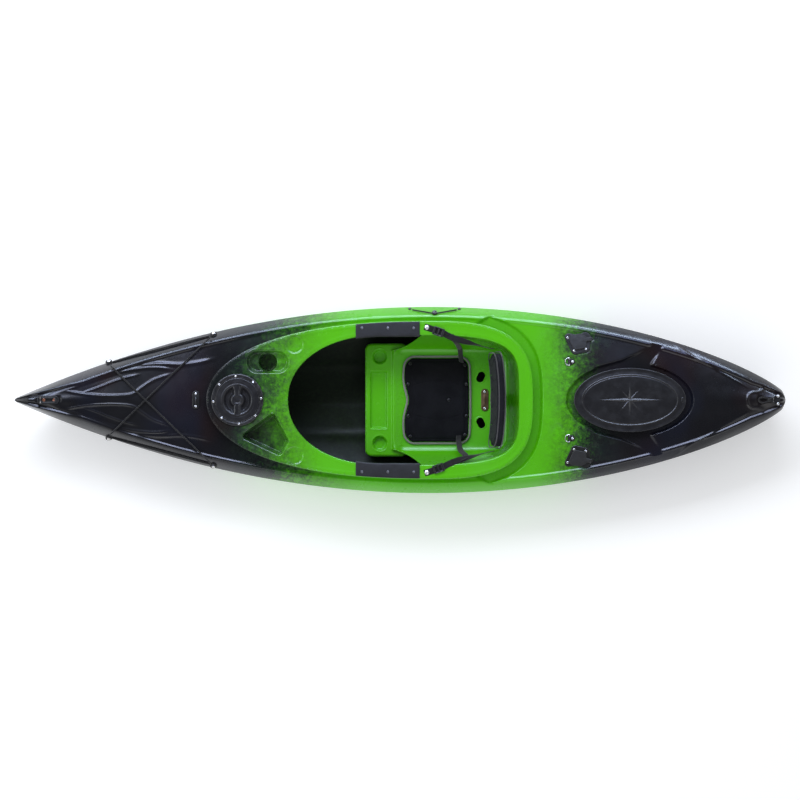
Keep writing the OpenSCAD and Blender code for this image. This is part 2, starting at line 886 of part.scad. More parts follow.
// Bail with a rounded grip, lying back along the base.
module bow_handle() {
    color("dimgray")
        on_deck(bow_handle_x, 0, bow_flat)
            translate([bail_pivot[0], 0, bail_pivot[1]]) {
                rotate([90, 0, 0]) cylinder(h = 31.6, r = 2.48, center = true);
                translate([0, -7, 0]) rotate([0, 90, 0]) cylinder(h = 56, r = 2.5);
                translate([0, 7, 0]) rotate([0, 90, 0]) cylinder(h = 56, r = 2.5);
                translate([56, 0, 0]) rotate([90, 0, 0]) cylinder(h = 22, r = 4, center = true);
            }
}

rope_pivot_z = 9;

module stern_base_outline(grow = 0) {
    hull() {
        for (y = [-1, 1]) translate([2, y * 15]) circle(9 + grow);
        translate([-16, 0]) circle(12 + grow);
    }
}

module stern_handle_base() {
    color("black")
        on_deck(stern_handle_x - 30, 0)
            translate([30, 0, 0])
                difference() {
                    union() {
                        translate([0, 0, 0.1]) linear_extrude(4) stern_base_outline();
                        for (y = [-1, 1])
                            translate([-16, y * 8.5 - 2, 3]) {
                                translate([-5, 0, 0]) cube([10, 4, 6]);
                                translate([0, 0, 6]) rotate([-90, 0, 0]) cylinder(h = 4, r = 5);
                            }
                    }
                    translate([-16, 30, rope_pivot_z]) rotate([90, 0, 0]) cylinder(h = 60, r = 2.05);
                    for (y = [-1, 1]) translate([3, y * 15, -1]) cylinder(h = 20, r = 3);
                }
}

module stern_handle_screws() {
    color("silver")
        on_deck(stern_handle_x - 30, 0)
            for (y = [-1, 1])
                translate([33, y * 15, 4.2]) {
                    cylinder(h = 2.6, r1 = 5.5, r2 = 4, $fn = 24);
                    translate([0, 0, -18]) cylinder(h = 18.5, r = 2.7, $fn = 24);
                }
}

rope_r = 3.2;
loop_run = [-24, -44];   // straight part of the rope loop, measured aft of the pin
loop_half = 7;

// Rope loop on a pin, lying forward on the deck.
module stern_handle() {
    color("dimgray")
        on_deck(stern_handle_x - 30, 0)
            translate([14, 0, rope_pivot_z]) {
                rotate([90, 0, 0]) cylinder(h = 20.6, r = 1.98, center = true);
                rotate([90, 0, 0]) cylinder(h = 11, r = 4.5, center = true);
                rotate([0, -90, 0]) cylinder(h = -loop_run[0], r = 3.5);
                translate([loop_run[0], 0, 0]) rotate([90, 0, 0])
                    cylinder(h = 2 * loop_half, r = 4.6, center = true);
                for (y = [-loop_half, loop_half])
                    translate([loop_run[0], y, 0]) rotate([0, -90, 0])
                        cylinder(h = loop_run[0] - loop_run[1], r = rope_r);
                translate([loop_run[1], 0, 0]) rotate(90)
                    rotate_extrude(angle = 180) translate([loop_half, 0]) circle(rope_r, $fn = 32);
            }
}

// ---- rod holders and tie rings ----------------------------------------------

cap_hinge = [50, 12];    // hinge of the rod holder's cap from the bore, along X and outboard
cap_angle = atan2(cap_hinge[1], cap_hinge[0]);
cap_barrel_z = 2.4;      // hinge barrel's axis above the cap's underside, and its radius
cap_barrel_r = 2.2;
holder_depth = 184;      // depth of the tube below the flange, along its axis
holder_mouth = 16;       // length over which the tube's mouth is wider

// Frame of the raked tube: it leans aft and a little outboard.
module rod_holder_tube_place(s) {
    on_deck(rod_x, s * rod_y) rotate([s * -10, rod_rake, 0]) children();
}

module rod_flange_outline(grow = 0, sides = 32) {
    hull() {
        translate([-38, 20]) circle(15 + grow, $fn = sides);
        translate([-12, -34]) circle(16 + grow, $fn = sides);
        translate([26, -22]) circle(20 + grow, $fn = sides);
        translate([28, 18]) circle(22 + grow, $fn = sides);
        translate([cap_hinge[0] + 2, cap_hinge[1]]) circle(7 + grow, $fn = sides);
    }
}

rod_screws = [[-42, 18], [-17, -35], [30, -28]];

module rod_holder(s) {
    color("black")
        difference() {
            union() {
                on_deck(rod_x, s * rod_y) translate([0, 0, 0.1])
                    mirror([0, s < 0 ? 1 : 0, 0]) linear_extrude(4) rod_flange_outline();
                intersection() {
                    rod_holder_tube_place(s) translate([0, 0, -holder_depth - 6])
                        cylinder(h = holder_depth + 31, r = rod_bore_d / 2 + 4);
                    on_deck(rod_x, s * rod_y) translate([-clear, -clear, -clear])
                        cube([2 * clear, 2 * clear, clear + 4]);
                }
            }
            rod_holder_tube_place(s) {
                translate([0, 0, -holder_depth]) cylinder(h = holder_depth + 56, r = rod_bore_d / 2);
                translate([0, 0, -holder_mouth]) cylinder(h = 80, r = rod_bore_d / 2 + 2);
            }
            on_deck(rod_x, s * rod_y)
                for (p = rod_screws) translate([p[0], s * p[1], -5]) cylinder(h = 20, r = 2.6, $fn = 24);
        }
}

module rod_holder_port() rod_holder(PORT);
module rod_holder_starboard() rod_holder(STARBOARD);

module rod_cap(s) {
    color("dimgray")
        on_deck(rod_x, s * rod_y)
            translate([0, 0, 4.5])
                mirror([0, s < 0 ? 1 : 0, 0]) {
                    linear_extrude(4)
                        hull() {
                            for (p = [[-24, 14], [-9, -19], [18, -14], [21, 13], [6, 20]])
                                translate(p) circle(12.8, $fn = 32);
                            translate(0.8 * cap_hinge) circle(9.5, $fn = 32);
                        }
                    translate([cap_hinge[0], cap_hinge[1], cap_barrel_z]) rotate([90, 0, cap_angle])
                        cylinder(h = 18, r = cap_barrel_r, center = true);
                }
}

module rod_cap_port() rod_cap(PORT);
module rod_cap_starboard() rod_cap(STARBOARD);

module rod_holder_screws() {
    color("silver")
        for (s = [PORT, STARBOARD], p = rod_screws)
            on_deck(rod_x, s * rod_y) translate([p[0], s * p[1], 4.2]) {
                cylinder(h = 2.4, r1 = 4.6, r2 = 3.2, $fn = 24);
                translate([0, 0, -16]) cylinder(h = 16.5, r = 2.4, $fn = 16);
            }
}

tie_pivot = [-10, 5.2];  // pivot of a tie ring from its screw, along X and up
tie_wire_r = 1.9;
tie_r = 15;              // radius of the ring to the wire's centre

module tie_ring_bases() {
    color("black")
        for (s = [PORT, STARBOARD])
            on_deck(tie_x, s * tie_y)
                difference() {
                    union() {
                        translate([0, 0, 0.1]) linear_extrude(3)
                            hull() {
                                circle(11);
                                translate([-10, 0]) square([10, 24], center = true);
                            }
                        translate([tie_pivot[0], 0, tie_pivot[1]]) rotate([90, 0, 0])
                            cylinder(h = 18, r = 4.2, center = true);
                    }
                    translate([-clear, -clear, -clear]) cube([2 * clear, 2 * clear, clear + 0.1]);
                    translate([tie_pivot[0], 0, tie_pivot[1]]) rotate([90, 0, 0])
                        cylinder(h = 30, r = tie_wire_r + 0.06, center = true);
                    translate([0, 0, -1]) cylinder(h = 20, r = 2.6);
                }
}

module tie_ring_screws() {
    color("silver")
        for (s = [PORT, STARBOARD])
            on_deck(tie_x, s * tie_y) translate([2, 0, 3.3]) {
                cylinder(h = 2.4, r1 = 5, r2 = 3.4, $fn = 24);
                translate([-2, 0, -15]) cylinder(h = 15.5, r = 2.4, $fn = 16);
            }
}

// D-shaped wire ring: a straight bar through the base and a half circle.
module tie_ring(s) {
    color("silver")
        on_deck(tie_x, s * tie_y)
            translate([tie_pivot[0], 0, tie_pivot[1]]) {
                rotate([90, 0, 0]) cylinder(h = 2 * tie_r, r = tie_wire_r, center = true);
                rotate(90) rotate_extrude(angle = 180) translate([tie_r, 0]) circle(tie_wire_r, $fn = 24);
            }
}

module tie_ring_port() tie_ring(PORT);
module tie_ring_starboard() tie_ring(STARBOARD);

// ---- paddle park on the starboard gunwale -----------------------------------

park_x = 137;
park_y = 342;
park_reach = 98;         // how far each arm of the cord reaches along the hull
park_end_y = 361;

module paddle_cord() {
    color("black")
        for (d = [-1, 1])
            deck_cord([park_x + d * 14, park_y + 2], [park_x + d * (park_reach - 10), park_end_y - 3],
                4, park_lift);
}

module paddle_cord_button() {
    color("black")
        translate([park_x, park_y, upper_z(park_x, park_y)]) rotate([-eye_tilt, 0, 0])
            translate([0, 0, 0.3]) {
                cylinder(h = 8, r = 6);
                translate([0, 0, 8]) cylinder(h = 4, r1 = 10, r2 = 7);
            }
}

module paddle_cord_eyes() {
    color("black")
        for (d = [-1, 1])
            translate([park_x + d * park_reach, park_end_y, upper_z(park_x + d * park_reach, park_end_y)])
                rotate([-60, 0, 0]) translate([0, 0, -1]) cylinder(h = 5, r = 6.5, $fn = 24);
}

// ---- foot braces ------------------------------------------------------------

brace_x = -855;          // middle of the rails
brace_y = 200;
brace_z = 111;
brace_toe = 14.3;        // the rails follow the hull's taper
brace_fall = 3.4;        // and fall a little towards the seat

module brace_place(s) {
    translate([brace_x, s * brace_y, brace_z]) rotate([0, brace_fall, s * brace_toe])
        mirror([0, s < 0 ? 1 : 0, 0]) children();
}

// Half width of the hull's outside at station x and height z.
function side_y(x, z) =
    let(n = fullness(x), s = sheer_z(x), k = keel_z(x) + keel_drop, c = pow((s - z) / (s - k), n / 2))
    half_beam(x) * pow(sqrt(1 - c * c), 2 / n);

// Frame of a foot brace bolt: origin where its axis leaves the hull, z pointing out.
module foot_bolt_place(s, end) {
    along = end * brace_pitch / 2;
    x = brace_x + along * cos(brace_toe);
    y = brace_y + along * sin(brace_toe);
    z = brace_z - along * sin(brace_fall);
    brace_place(s) translate([along, (side_y(x, z) - y) * cos(brace_toe), 0]) rotate([-90, 0, 0]) children();
}

rail_length = 392;
rail_h = 26;

module foot_rail(s) {
    color("black")
        brace_place(s)
            difference() {
                translate([-rail_length / 2, -7, -rail_h / 2]) cube([rail_length, 11, rail_h]);
                translate([-rail_length / 2 + 8, -3.5, -9]) cube([rail_length - 16, 4.5, 18]);
                translate([-rail_length / 2 + 8, -8, -5]) cube([rail_length - 16, 8, 10]);
                for (x = [-1, 1])
                    translate([x * brace_pitch / 2, 0, 0]) rotate([90, 0, 0])
                        cylinder(h = 60, r = 3.2, center = true);
            }
}

module foot_rail_port() foot_rail(PORT);
module foot_rail_starboard() foot_rail(STARBOARD);

// Slider with a raked foot plate.
module foot_pedal(s) {
    color("dimgray")
        brace_place(s) {
            translate([-30, -3.2, -8.7]) cube([60, 3.9, 17.4]);
            translate([-30, -9, -4.7]) cube([60, 7, 9.4]);
            translate([-34, -19, -15]) cube([68, 11.6, 30]);
            translate([-6, -32, -12]) rotate([0, -14, 0]) cube([9, 18, 26]);
            translate([-6, -84, -30]) rotate([0, -14, 0]) cube([9, 56, 84]);
        }
}

module foot_pedal_port() foot_pedal(PORT);
module foot_pedal_starboard() foot_pedal(STARBOARD);

module foot_rail_bolts() {
    color("silver")
        for (s = [PORT, STARBOARD], end = [-1, 1])
            foot_bolt_place(s, end) {
                translate([0, 0, -1]) cylinder(h = 4, r1 = 7.5, r2 = 5, $fn = 32);
                translate([0, 0, -21]) cylinder(h = 21, r = 3, $fn = 24);
            }
}

hull_moulding();
stern_bulkhead();
bow_float();
seat_support_foam();
day_hatch_gasket();
day_hatch_ring();
day_hatch_screws();
day_hatch_seal();
day_hatch_lid();
stern_hatch_lid();
stern_hatch_seal();
accessory_inserts();
seat_pad();
seat_pad_rivets();
backrest();
backrest_bracket();
backrest_bracket_screws();
backrest_hinge_strap();
backrest_strap_port();
backrest_strap_starboard();
strap_buckles();
strap_anchor_screws();
thigh_pad_port();
thigh_pad_starboard();
thigh_pad_screws();
bow_bungee();
bungee_eyes();
bungee_eye_screws();
bow_pad_eye();
bow_pad_eye_screws();
bow_handle_base();
bow_handle_screws();
bow_handle();
stern_handle_base();
stern_handle_screws();
stern_handle();
rod_holder_port();
rod_holder_starboard();
rod_cap_port();
rod_cap_starboard();
rod_holder_screws();
tie_ring_bases();
tie_ring_screws();
tie_ring_port();
tie_ring_starboard();
paddle_cord();
paddle_cord_button();
paddle_cord_eyes();
foot_rail_port();
foot_rail_starboard();
foot_pedal_port();
foot_pedal_starboard();
foot_rail_bolts();
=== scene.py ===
import math

import bmesh
import bpy
import numpy as np
from mathutils import Matrix, Vector


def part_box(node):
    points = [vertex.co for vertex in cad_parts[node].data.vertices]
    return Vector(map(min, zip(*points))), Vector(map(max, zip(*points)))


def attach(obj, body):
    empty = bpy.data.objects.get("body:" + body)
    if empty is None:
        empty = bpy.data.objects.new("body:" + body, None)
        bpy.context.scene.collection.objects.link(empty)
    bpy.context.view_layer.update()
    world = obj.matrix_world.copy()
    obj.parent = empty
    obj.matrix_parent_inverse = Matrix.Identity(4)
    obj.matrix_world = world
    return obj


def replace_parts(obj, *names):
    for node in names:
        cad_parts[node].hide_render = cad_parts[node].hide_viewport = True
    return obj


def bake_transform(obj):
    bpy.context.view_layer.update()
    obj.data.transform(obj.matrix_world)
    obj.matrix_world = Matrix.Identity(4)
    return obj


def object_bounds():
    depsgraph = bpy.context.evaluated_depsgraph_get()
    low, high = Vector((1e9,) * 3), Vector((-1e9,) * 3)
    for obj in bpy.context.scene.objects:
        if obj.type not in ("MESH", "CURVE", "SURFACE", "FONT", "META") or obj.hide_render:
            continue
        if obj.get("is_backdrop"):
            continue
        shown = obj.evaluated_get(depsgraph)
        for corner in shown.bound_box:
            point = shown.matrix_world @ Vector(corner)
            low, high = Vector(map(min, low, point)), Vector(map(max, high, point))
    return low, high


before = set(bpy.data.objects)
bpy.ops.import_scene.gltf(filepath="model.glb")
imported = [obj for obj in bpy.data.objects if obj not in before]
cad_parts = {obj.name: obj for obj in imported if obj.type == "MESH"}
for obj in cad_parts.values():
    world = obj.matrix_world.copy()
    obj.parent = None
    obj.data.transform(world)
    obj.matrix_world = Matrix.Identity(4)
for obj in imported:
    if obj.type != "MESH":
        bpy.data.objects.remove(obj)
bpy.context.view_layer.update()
scene = bpy.context.scene
scene.view_settings.view_transform = "Standard"
MM = 0.001

# ---- hull lines, in millimetres, as the CAD source has them -------------------------------

hull_lo, hull_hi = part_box("hull_moulding")
HALF = round(hull_hi.x / MM)
BEAM = round(hull_hi.y / MM)
WIDEST = 113.0


def clip01(t):
    return np.clip(t, 0.0, 1.0)


def smooth(t):
    c = clip01(t)
    return c * c * (3 - 2 * c)


def bell(d, width):
    return np.exp(-(d / width) ** 2)


def circle(count):
    return np.linspace(0, 2 * np.pi, count, endpoint=False)


def arc_length(path):
    return np.r_[0, np.cumsum(np.linalg.norm(np.diff(path, axis=0), axis=1))]


def bisect(low_side, lo, hi, steps=40):
    """Halves lo to hi at every point, towards the place where low_side(mid) turns false."""
    for _ in range(steps):
        mid = (lo + hi) / 2
        keep = low_side(mid)
        lo, hi = np.where(keep, mid, lo), np.where(keep, hi, mid)
    return lo


def half_beam(x):
    x = np.asarray(x, float)
    bow = 6 + (BEAM - 6) * np.maximum(0, 1 - np.maximum(0, (WIDEST - x) / (WIDEST + HALF)) ** 1.97)
    rear = np.maximum(0, x - WIDEST) / (HALF - WIDEST)
    stern = 24 + (BEAM - 24) * np.maximum(0, 1 - rear ** 2) ** 0.8
    return np.where(x < WIDEST, bow, stern)


def end_round(x):
    """Share of the half beam left where both ends are rounded off."""
    bow = clip01((x + HALF) / 9)
    stern = clip01((HALF - x) / 15)
    return np.sqrt(np.maximum(1e-6,
                              1 - (1 - bow) ** 2)) * np.sqrt(np.maximum(1e-6, 1 - (1 - stern) ** 2))


def keel_z(x):
    return (10 * smooth(-x / 1200) + 232 * np.maximum(0, 1 - (x + HALF) / 340) ** 2.2
            + 225 * np.maximum(0, 1 - (HALF - x) / 115) ** 2.5)


def sheer_z(x):
    bow = np.maximum(0, (-500 - x) / (HALF - 500)) ** 3
    stern = np.maximum(0, (x + 500) / (HALF + 500)) ** 2.4
    return 196 + 50 * np.where(x < -500, bow, stern)


def shoulder_z(x):
    rise = (49 + 14 * smooth((-x - 350) / 800) + 6 * smooth((-x - 1330) / 110)
            - 12 * smooth((x - 300) / 500) - 8 * smooth((x - 850) / 300)
            + 10 * smooth((x - 1150) / 180) - 9 * smooth((x - 1360) / 100))
    return (sheer_z(x) + rise * np.sin(np.pi / 2 * np.minimum(1, (x + HALF + 4) / 84)) ** 0.8
            - 22 * np.maximum(0, 1 - (HALF - x) / 26) ** 2.5)


def shoulder_in(x):
    return np.minimum(40, 0.35 * half_beam(x))


def crown(x):
    return (6 + 14 * smooth((x - 450) / 200) - 10 * smooth((x - 850) / 300)
            + 9 * smooth((-x - 620) / 200) - 9 * smooth((-x - 1050) / 250))


def deck_half(x):
    b = half_beam(x)
    return np.maximum(0.5, b - shoulder_in(x) - np.minimum(14, 0.3 * b))


def fullness(x):
    t = np.where(x < WIDEST, (WIDEST - x) / (WIDEST + HALF), (x - WIDEST) / (HALF - WIDEST))
    return 1.35 + 1.75 * (1 - np.minimum(1, t) ** 2.4)


def deck_z(x, y):
    x = np.asarray(x, float)
    return shoulder_z(x) - 5 + (5 + crown(x)) * (1 - np.minimum(1, np.abs(y) / deck_half(x)) ** 2)


def upper_z(x, y):
    """Deck, its raised edge and the bevel down to the sheer crease."""
    a = np.abs(y)
    b, i, g, d = half_beam(x), shoulder_in(x), shoulder_z(x), deck_half(x)
    inner = b - i
    out = (a - inner) / i
    w = 0.16
    ease = np.where(out < -w, 0, np.where(out < w, (out + w) ** 2 / (4 * w) * 0.62,
                                          out * (0.55 + 0.45 * out)))
    bevel = g - (g - sheer_z(x)) * np.minimum(1, ease)
    edge = g - 5 + 5 * smooth((a - d) / np.maximum(1, inner - d))
    return np.where(a <= d, deck_z(x, y), np.where(a <= inner, edge, g) - (g - bevel))


def top_z(x):
    return TOP + 11 * smooth((-np.asarray(x, float) - 260) / 240)


# heights of the main surfaces
TOP = 286.0
CONSOLE = TOP + 11
LIP = 14.0
PAN = 88.0
SHELF = 96.0
MOAT_FLOOR = 236
NOTCH_FLOOR = 238
WELL_FLOOR = 248
CUP_FLOOR = CONSOLE - 90
TRAY_FLOOR = CONSOLE - 60

# ---- plan shapes as signed distances, negative inside -------------------------------------


def true_distance(f):
    """A level function turned into a distance near its zero line."""
    def g(x, y):
        e = 0.5
        v = f(x, y)
        gx = (f(x + e, y) - f(x - e, y)) / (2 * e)
        gy = (f(x, y + e) - f(x, y - e)) / (2 * e)
        return v / np.maximum(1e-4, np.hypot(gx, gy))
    return g


def egg(front, wide, rear, half, fp, rp):
    """Plan shape that is widest at one station, with its own fullness fore and aft."""
    def f(x, y):
        fore = (np.maximum(0, wide - x) / (wide - front)) ** fp + (np.abs(y) / half) ** (2 / 0.95)
        aft = (np.maximum(0, x - wide) / (rear - wide)) ** rp + (np.abs(y) / half) ** rp
        return np.where(x < wide, fore ** (0.95 / 2), aft ** (1 / rp)) - 1
    return true_distance(f)


def egg_outline(front, wide, rear, half, fp, rp, count):
    """Points round the egg, evenly spaced, and their outward normals."""
    a = np.linspace(0, np.pi, 1801)
    c, s = np.cos(a), np.sin(a)
    x = np.where(c > 0, wide - (wide - front) * np.maximum(0, c) ** (2 / fp),
                 wide + (rear - wide) * np.maximum(0, -c) ** (2 / rp))
    y = np.where(c > 0, half * s ** 0.95, half * np.maximum(0, s) ** (2 / rp))
    pts = np.vstack([np.c_[x, y], np.c_[x, -y][-2:0:-1]])
    return resample(pts, count)


def resample(pts, count):
    loop = np.vstack([pts, pts[:1]])
    run = np.r_[0, np.cumsum(np.hypot(*np.diff(loop, axis=0).T))]
    t = np.linspace(0, run[-1], count, endpoint=False)
    p = np.c_[np.interp(t, run, loop[:, 0]), np.interp(t, run, loop[:, 1])]
    d = np.roll(p, -1, 0) - np.roll(p, 1, 0)
    n = np.c_[d[:, 1], -d[:, 0]] / np.hypot(*d.T)[:, None]
    area = 0.5 * np.sum(p[:, 0] * np.roll(p[:, 1], -1) - np.roll(p[:, 0], -1) * p[:, 1])
    return p, n * np.sign(area)


def disc(cx, cy, r):
    return lambda x, y: np.hypot(x - cx, y - cy) - r


def ellipse(cx, cy, a, b):
    return true_distance(lambda x, y: np.hypot((x - cx) / a, (y - cy) / b) - 1)


def capsule(p, q, rp, rq):
    def f(x, y):
        dx, dy = q[0] - p[0], q[1] - p[1]
        t = clip01(((x - p[0]) * dx + (y - p[1]) * dy) / (dx * dx + dy * dy))
        return np.hypot(x - p[0] - t * dx, y - p[1] - t * dy) - (rp + (rq - rp) * t)
    return f


def polygon(points, r=0.0):
    """Distance to a polygon grown by r."""
    q = np.array(points, float)

    def f(x, y):
        inside = np.zeros(np.shape(x), bool)
        for a, b in zip(q, np.roll(q, -1, 0)):
            across = (a[1] > y) != (b[1] > y)
            inside ^= across & (x < a[0] + (y - a[1]) * (b[0] - a[0]) / ((b[1] - a[1]) or 1.0))
        best = polyline_distance(np.vstack([q, q[:1]]), x, y)
        return np.where(inside, -best, best) - r
    return f


def rounded_box(x0, x1, half, r):
    return polygon([(x0 + r, -half + r), (x1 - r, -half + r), (x1 - r, half - r),
                    (x0 + r, half - r)], r)


def polyline_distance(points, x, y):
    best = np.full(np.shape(x), 1e9)
    for a, b in zip(points[:-1], points[1:]):
        dx, dy = b[0] - a[0], b[1] - a[1]
        t = clip01(((x - a[0]) * dx + (y - a[1]) * dy) / (dx * dx + dy * dy))
        best = np.minimum(best, np.hypot(x - a[0] - t * dx, y - a[1] - t * dy))
    return best


def curve_through(points, count=40):
    """Smooth polyline through a few points."""
    p = np.array(points, float)
    run = arc_length(p)
    t = np.linspace(0, run[-1], count)
    out = []
    for v in t:
        i = min(max(int(np.searchsorted(run, v, side="right")) - 1, 0), len(p) - 2)
        a, b, c, d = p[max(i - 1, 0)], p[i], p[i + 1], p[min(i + 2, len(p) - 1)]
        u = (v - run[i]) / (run[i + 1] - run[i])
        out.append(0.5 * ((2 * b) + (c - a) * u + (2 * a - 5 * b + 4 * c - d) * u * u
                          + (-a + 3 * b - 3 * c + d) * u ** 3))
    return np.array(out)


def grown(outline, by):
    """Sizes of an egg with its edge moved outwards."""
    front, wide, rear, half, fp, rp = outline
    return front - by, wide, rear + by, half + by, fp, rp


COAMING = (-764, 110, 525, 312, 2.35, 3)
COCKPIT = (-442, -60, 470, 256, 2.2, 4.5)
coaming = egg(*COAMING)
coaming_base = egg(*grown(COAMING, -LIP))
coaming_wide = egg(*grown(COAMING, 40))
cockpit = egg(*COCKPIT)
# places of the fittings in plan
ORIGIN = (0, 0, 0)
SIDES = (("port", -1), ("starboard", 1))
DAY = (-641.0, 0.0)
STERN = (908.0, 0.0)
ROD = (705, 229)
RING = (680, 151)
BOW_HANDLE_X = -1388
PAD_EYE_X = -807
STERN_HANDLE_X = 1459
PARK_X = 137
INSERT_R = 36
CUP = (-522.0, 150.0)
TRAY = [(-503, -68), (-607, -142), (-477, -203), (-453, -160)]
INSERT_X, INSERT_Y = -417.0, 219.0
dish = capsule((CUP[0] - 39.5, CUP[1]), (CUP[0] + 39.5, CUP[1]), 45, 45)
cup = disc(CUP[0], CUP[1], 38)
tray = polygon(TRAY, 15)
rim_out = ellipse(STERN[0], 0, 202, 107)
rim_in = ellipse(STERN[0], 0, 197, 102)
pan_box = rounded_box(-28, 425, 200, 50)
shelf_box = rounded_box(-139, 32, 226, 24)
shelf_well = rounded_box(-120, -51, 115, 8)


def both(f):
    """A shape on the starboard side and its mirror image."""
    return lambda x, y: f(x, np.abs(y))


def moat(x, y):
    """Channel behind the coaming, from a slanting line back."""
    slant = math.radians(30)
    return np.maximum(coaming_wide(x, y), (np.abs(y) - 316) * math.cos(slant)
                      - (x - 320) * math.sin(slant))


insert_seats = both(disc(INSERT_X, INSERT_Y, INSERT_R))
shelf_cups = both(disc(-81, 174, 30))
notch = both(capsule((334, 313), (378, 340), 10, 9))
stern_oval = ellipse(STERN[0], 0, 254, 150)
wing = both(polygon([(776, 124), (880, 154), (949, 185), (1013, 224), (1050, 262), (1070, 262),
                     (992, 144), (980, 110)], 8))


def stern_moat(x, y):
    a, b = stern_oval(x, y), wing(x, y)
    k = 12.0
    h = clip01(0.5 + 0.5 * (b - a) / k)
    return b * (1 - h) + a * h - k * h * (1 - h)


# ---- meshes -------------------------------------------------------------------------------


def shade_smooth(obj):
    obj.data.polygons.foreach_set("use_smooth", [True] * len(obj.data.polygons))


def finish_mesh(obj, look, body):
    """Shading, the look's material, and the body that the piece rides."""
    if look:
        slot, material = LOOKS[look]
        obj.data.materials.append(material)
    shade_smooth(obj)
    if body:
        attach(obj, body)
    return obj


def add_mesh(name, verts, faces, look, body="hull"):
    """Mesh object from vertices in millimetres."""
    me = bpy.data.meshes.new(name)
    me.from_pydata((np.asarray(verts, float) * MM).tolist(), [], [list(map(int, f)) for f in faces])
    me.update()
    obj = bpy.data.objects.new(name, me)
    scene.collection.objects.link(obj)
    return finish_mesh(obj, look, body)


def grid_faces(n, m, wrap_i=False, wrap_j=False, keep=None, flip=False):
    i = np.arange(n if wrap_i else n - 1)
    j = np.arange(m if wrap_j else m - 1)
    I, J = np.meshgrid(i, j, indexing="ij")
    a = I * m + J
    b = ((I + 1) % n) * m + J
    c = ((I + 1) % n) * m + (J + 1) % m
    d = I * m + (J + 1) % m
    f = np.stack([a, b, c, d] if not flip else [a, d, c, b], -1).reshape(-1, 4)
    if keep is not None:
        f = f[keep.reshape(-1)]
    return f


def border_triangles(mask, flip=False):
    """Triangles in the cells that have exactly three corners in the mask."""
    n, m = mask.shape
    quad = grid_faces(n, m, flip=flip)
    inside = mask.ravel()[quad]
    out = quad[inside.sum(1) == 3]
    lost = np.argmin(mask.ravel()[out], axis=1)
    order = (lost[:, None] + np.array([1, 2, 3])) % 4
    return np.take_along_axis(out, order, 1)


def add_grid(name, P, look, body="hull", keep=None, wrap_i=False, wrap_j=False, flip=False):
    """Mesh over a grid of points of shape (n, m, 3), in millimetres; keep marks the points in use."""
    n, m = P.shape[:2]
    if keep is not None:
        tri = border_triangles(keep, flip)
        f = grid_faces(n, m, keep=cells_inside(keep), flip=flip)
        return add_mesh(name, *compact(P, f.tolist() + tri.tolist()), look, body)
    f = grid_faces(n, m, wrap_i, wrap_j, flip=flip)
    used = np.unique(f)
    index = np.full(n * m, -1)
    index[used] = np.arange(len(used))
    v = P.reshape(-1, 3)[used] * MM
    f = index[f]
    me = bpy.data.meshes.new(name)
    me.vertices.add(len(v))
    me.vertices.foreach_set("co", v.astype(np.float32).ravel())
    me.loops.add(f.size)
    me.loops.foreach_set("vertex_index", f.astype(np.int32).ravel())
    me.polygons.add(len(f))
    me.polygons.foreach_set("loop_start", np.arange(0, f.size, 4, dtype=np.int32))
    me.polygons.foreach_set("loop_total", np.full(len(f), 4, dtype=np.int32))
    me.update(calc_edges=True)
    me.validate()
    obj = bpy.data.objects.new(name, me)
    scene.collection.objects.link(obj)
    return finish_mesh(obj, look, body)


def compact(P, faces):
    """Drops the points that no face uses."""
    used = np.unique(np.concatenate([np.asarray(f) for f in faces]))
    index = np.full(P.shape[0] * P.shape[1], -1)
    index[used] = np.arange(len(used))
    return P.reshape(-1, 3)[used], [index[f] for f in faces]


def snap(x, y, f, levels, reach):
    """Moves grid points that are close to a level line of f onto it."""
    done = np.zeros(x.shape, bool)
    e = 0.5
    for level in levels:
        v = f(x, y) - level
        m = (np.abs(v) < reach) & ~done
        if not m.any():
            continue
        xm, ym = x[m], y[m]
        gx = (f(xm + e, ym) - f(xm - e, ym)) / (2 * e)
        gy = (f(xm, ym + e) - f(xm, ym - e)) / (2 * e)
        g = np.maximum(0.2, gx * gx + gy * gy)
        x[m] = xm - v[m] * gx / g
        y[m] = ym - v[m] * gy / g
        done |= m


def cells_inside(mask):
    """Cells whose four corners are all in the mask."""
    return mask[:-1, :-1] & mask[1:, :-1] & mask[:-1, 1:] & mask[1:, 1:]


def wall(d, width, foot=0.0):
    """0 on the floor, 1 at the rim, for a signed distance d to the rim."""
    return smooth((d + width + foot) / width)


def sweep_loop(points, normals, profile):
    """Grid from a closed plan loop and rows of (offset, height); a height may be an array."""
    rows = []
    for off, z in profile:
        p = points + normals * off
        rows.append(np.c_[p, np.broadcast_to(z, len(p))])
    return np.stack(rows, 1)


def outward(obj):
    bm = bmesh.new()
    bm.from_mesh(obj.data)
    bmesh.ops.recalc_face_normals(bm, faces=bm.faces)
    bm.to_mesh(obj.data)
    bm.free()
    return obj


def tangent_frames(path, up):
    """Unit tangent, side and normal at each point of a path."""
    t = np.gradient(path, axis=0)
    t /= np.linalg.norm(t, axis=1)[:, None]
    up = np.broadcast_to(np.array(up, float), path.shape)
    side = np.cross(up, t)
    side /= np.linalg.norm(side, axis=1)[:, None]
    return t, side, np.cross(t, side)


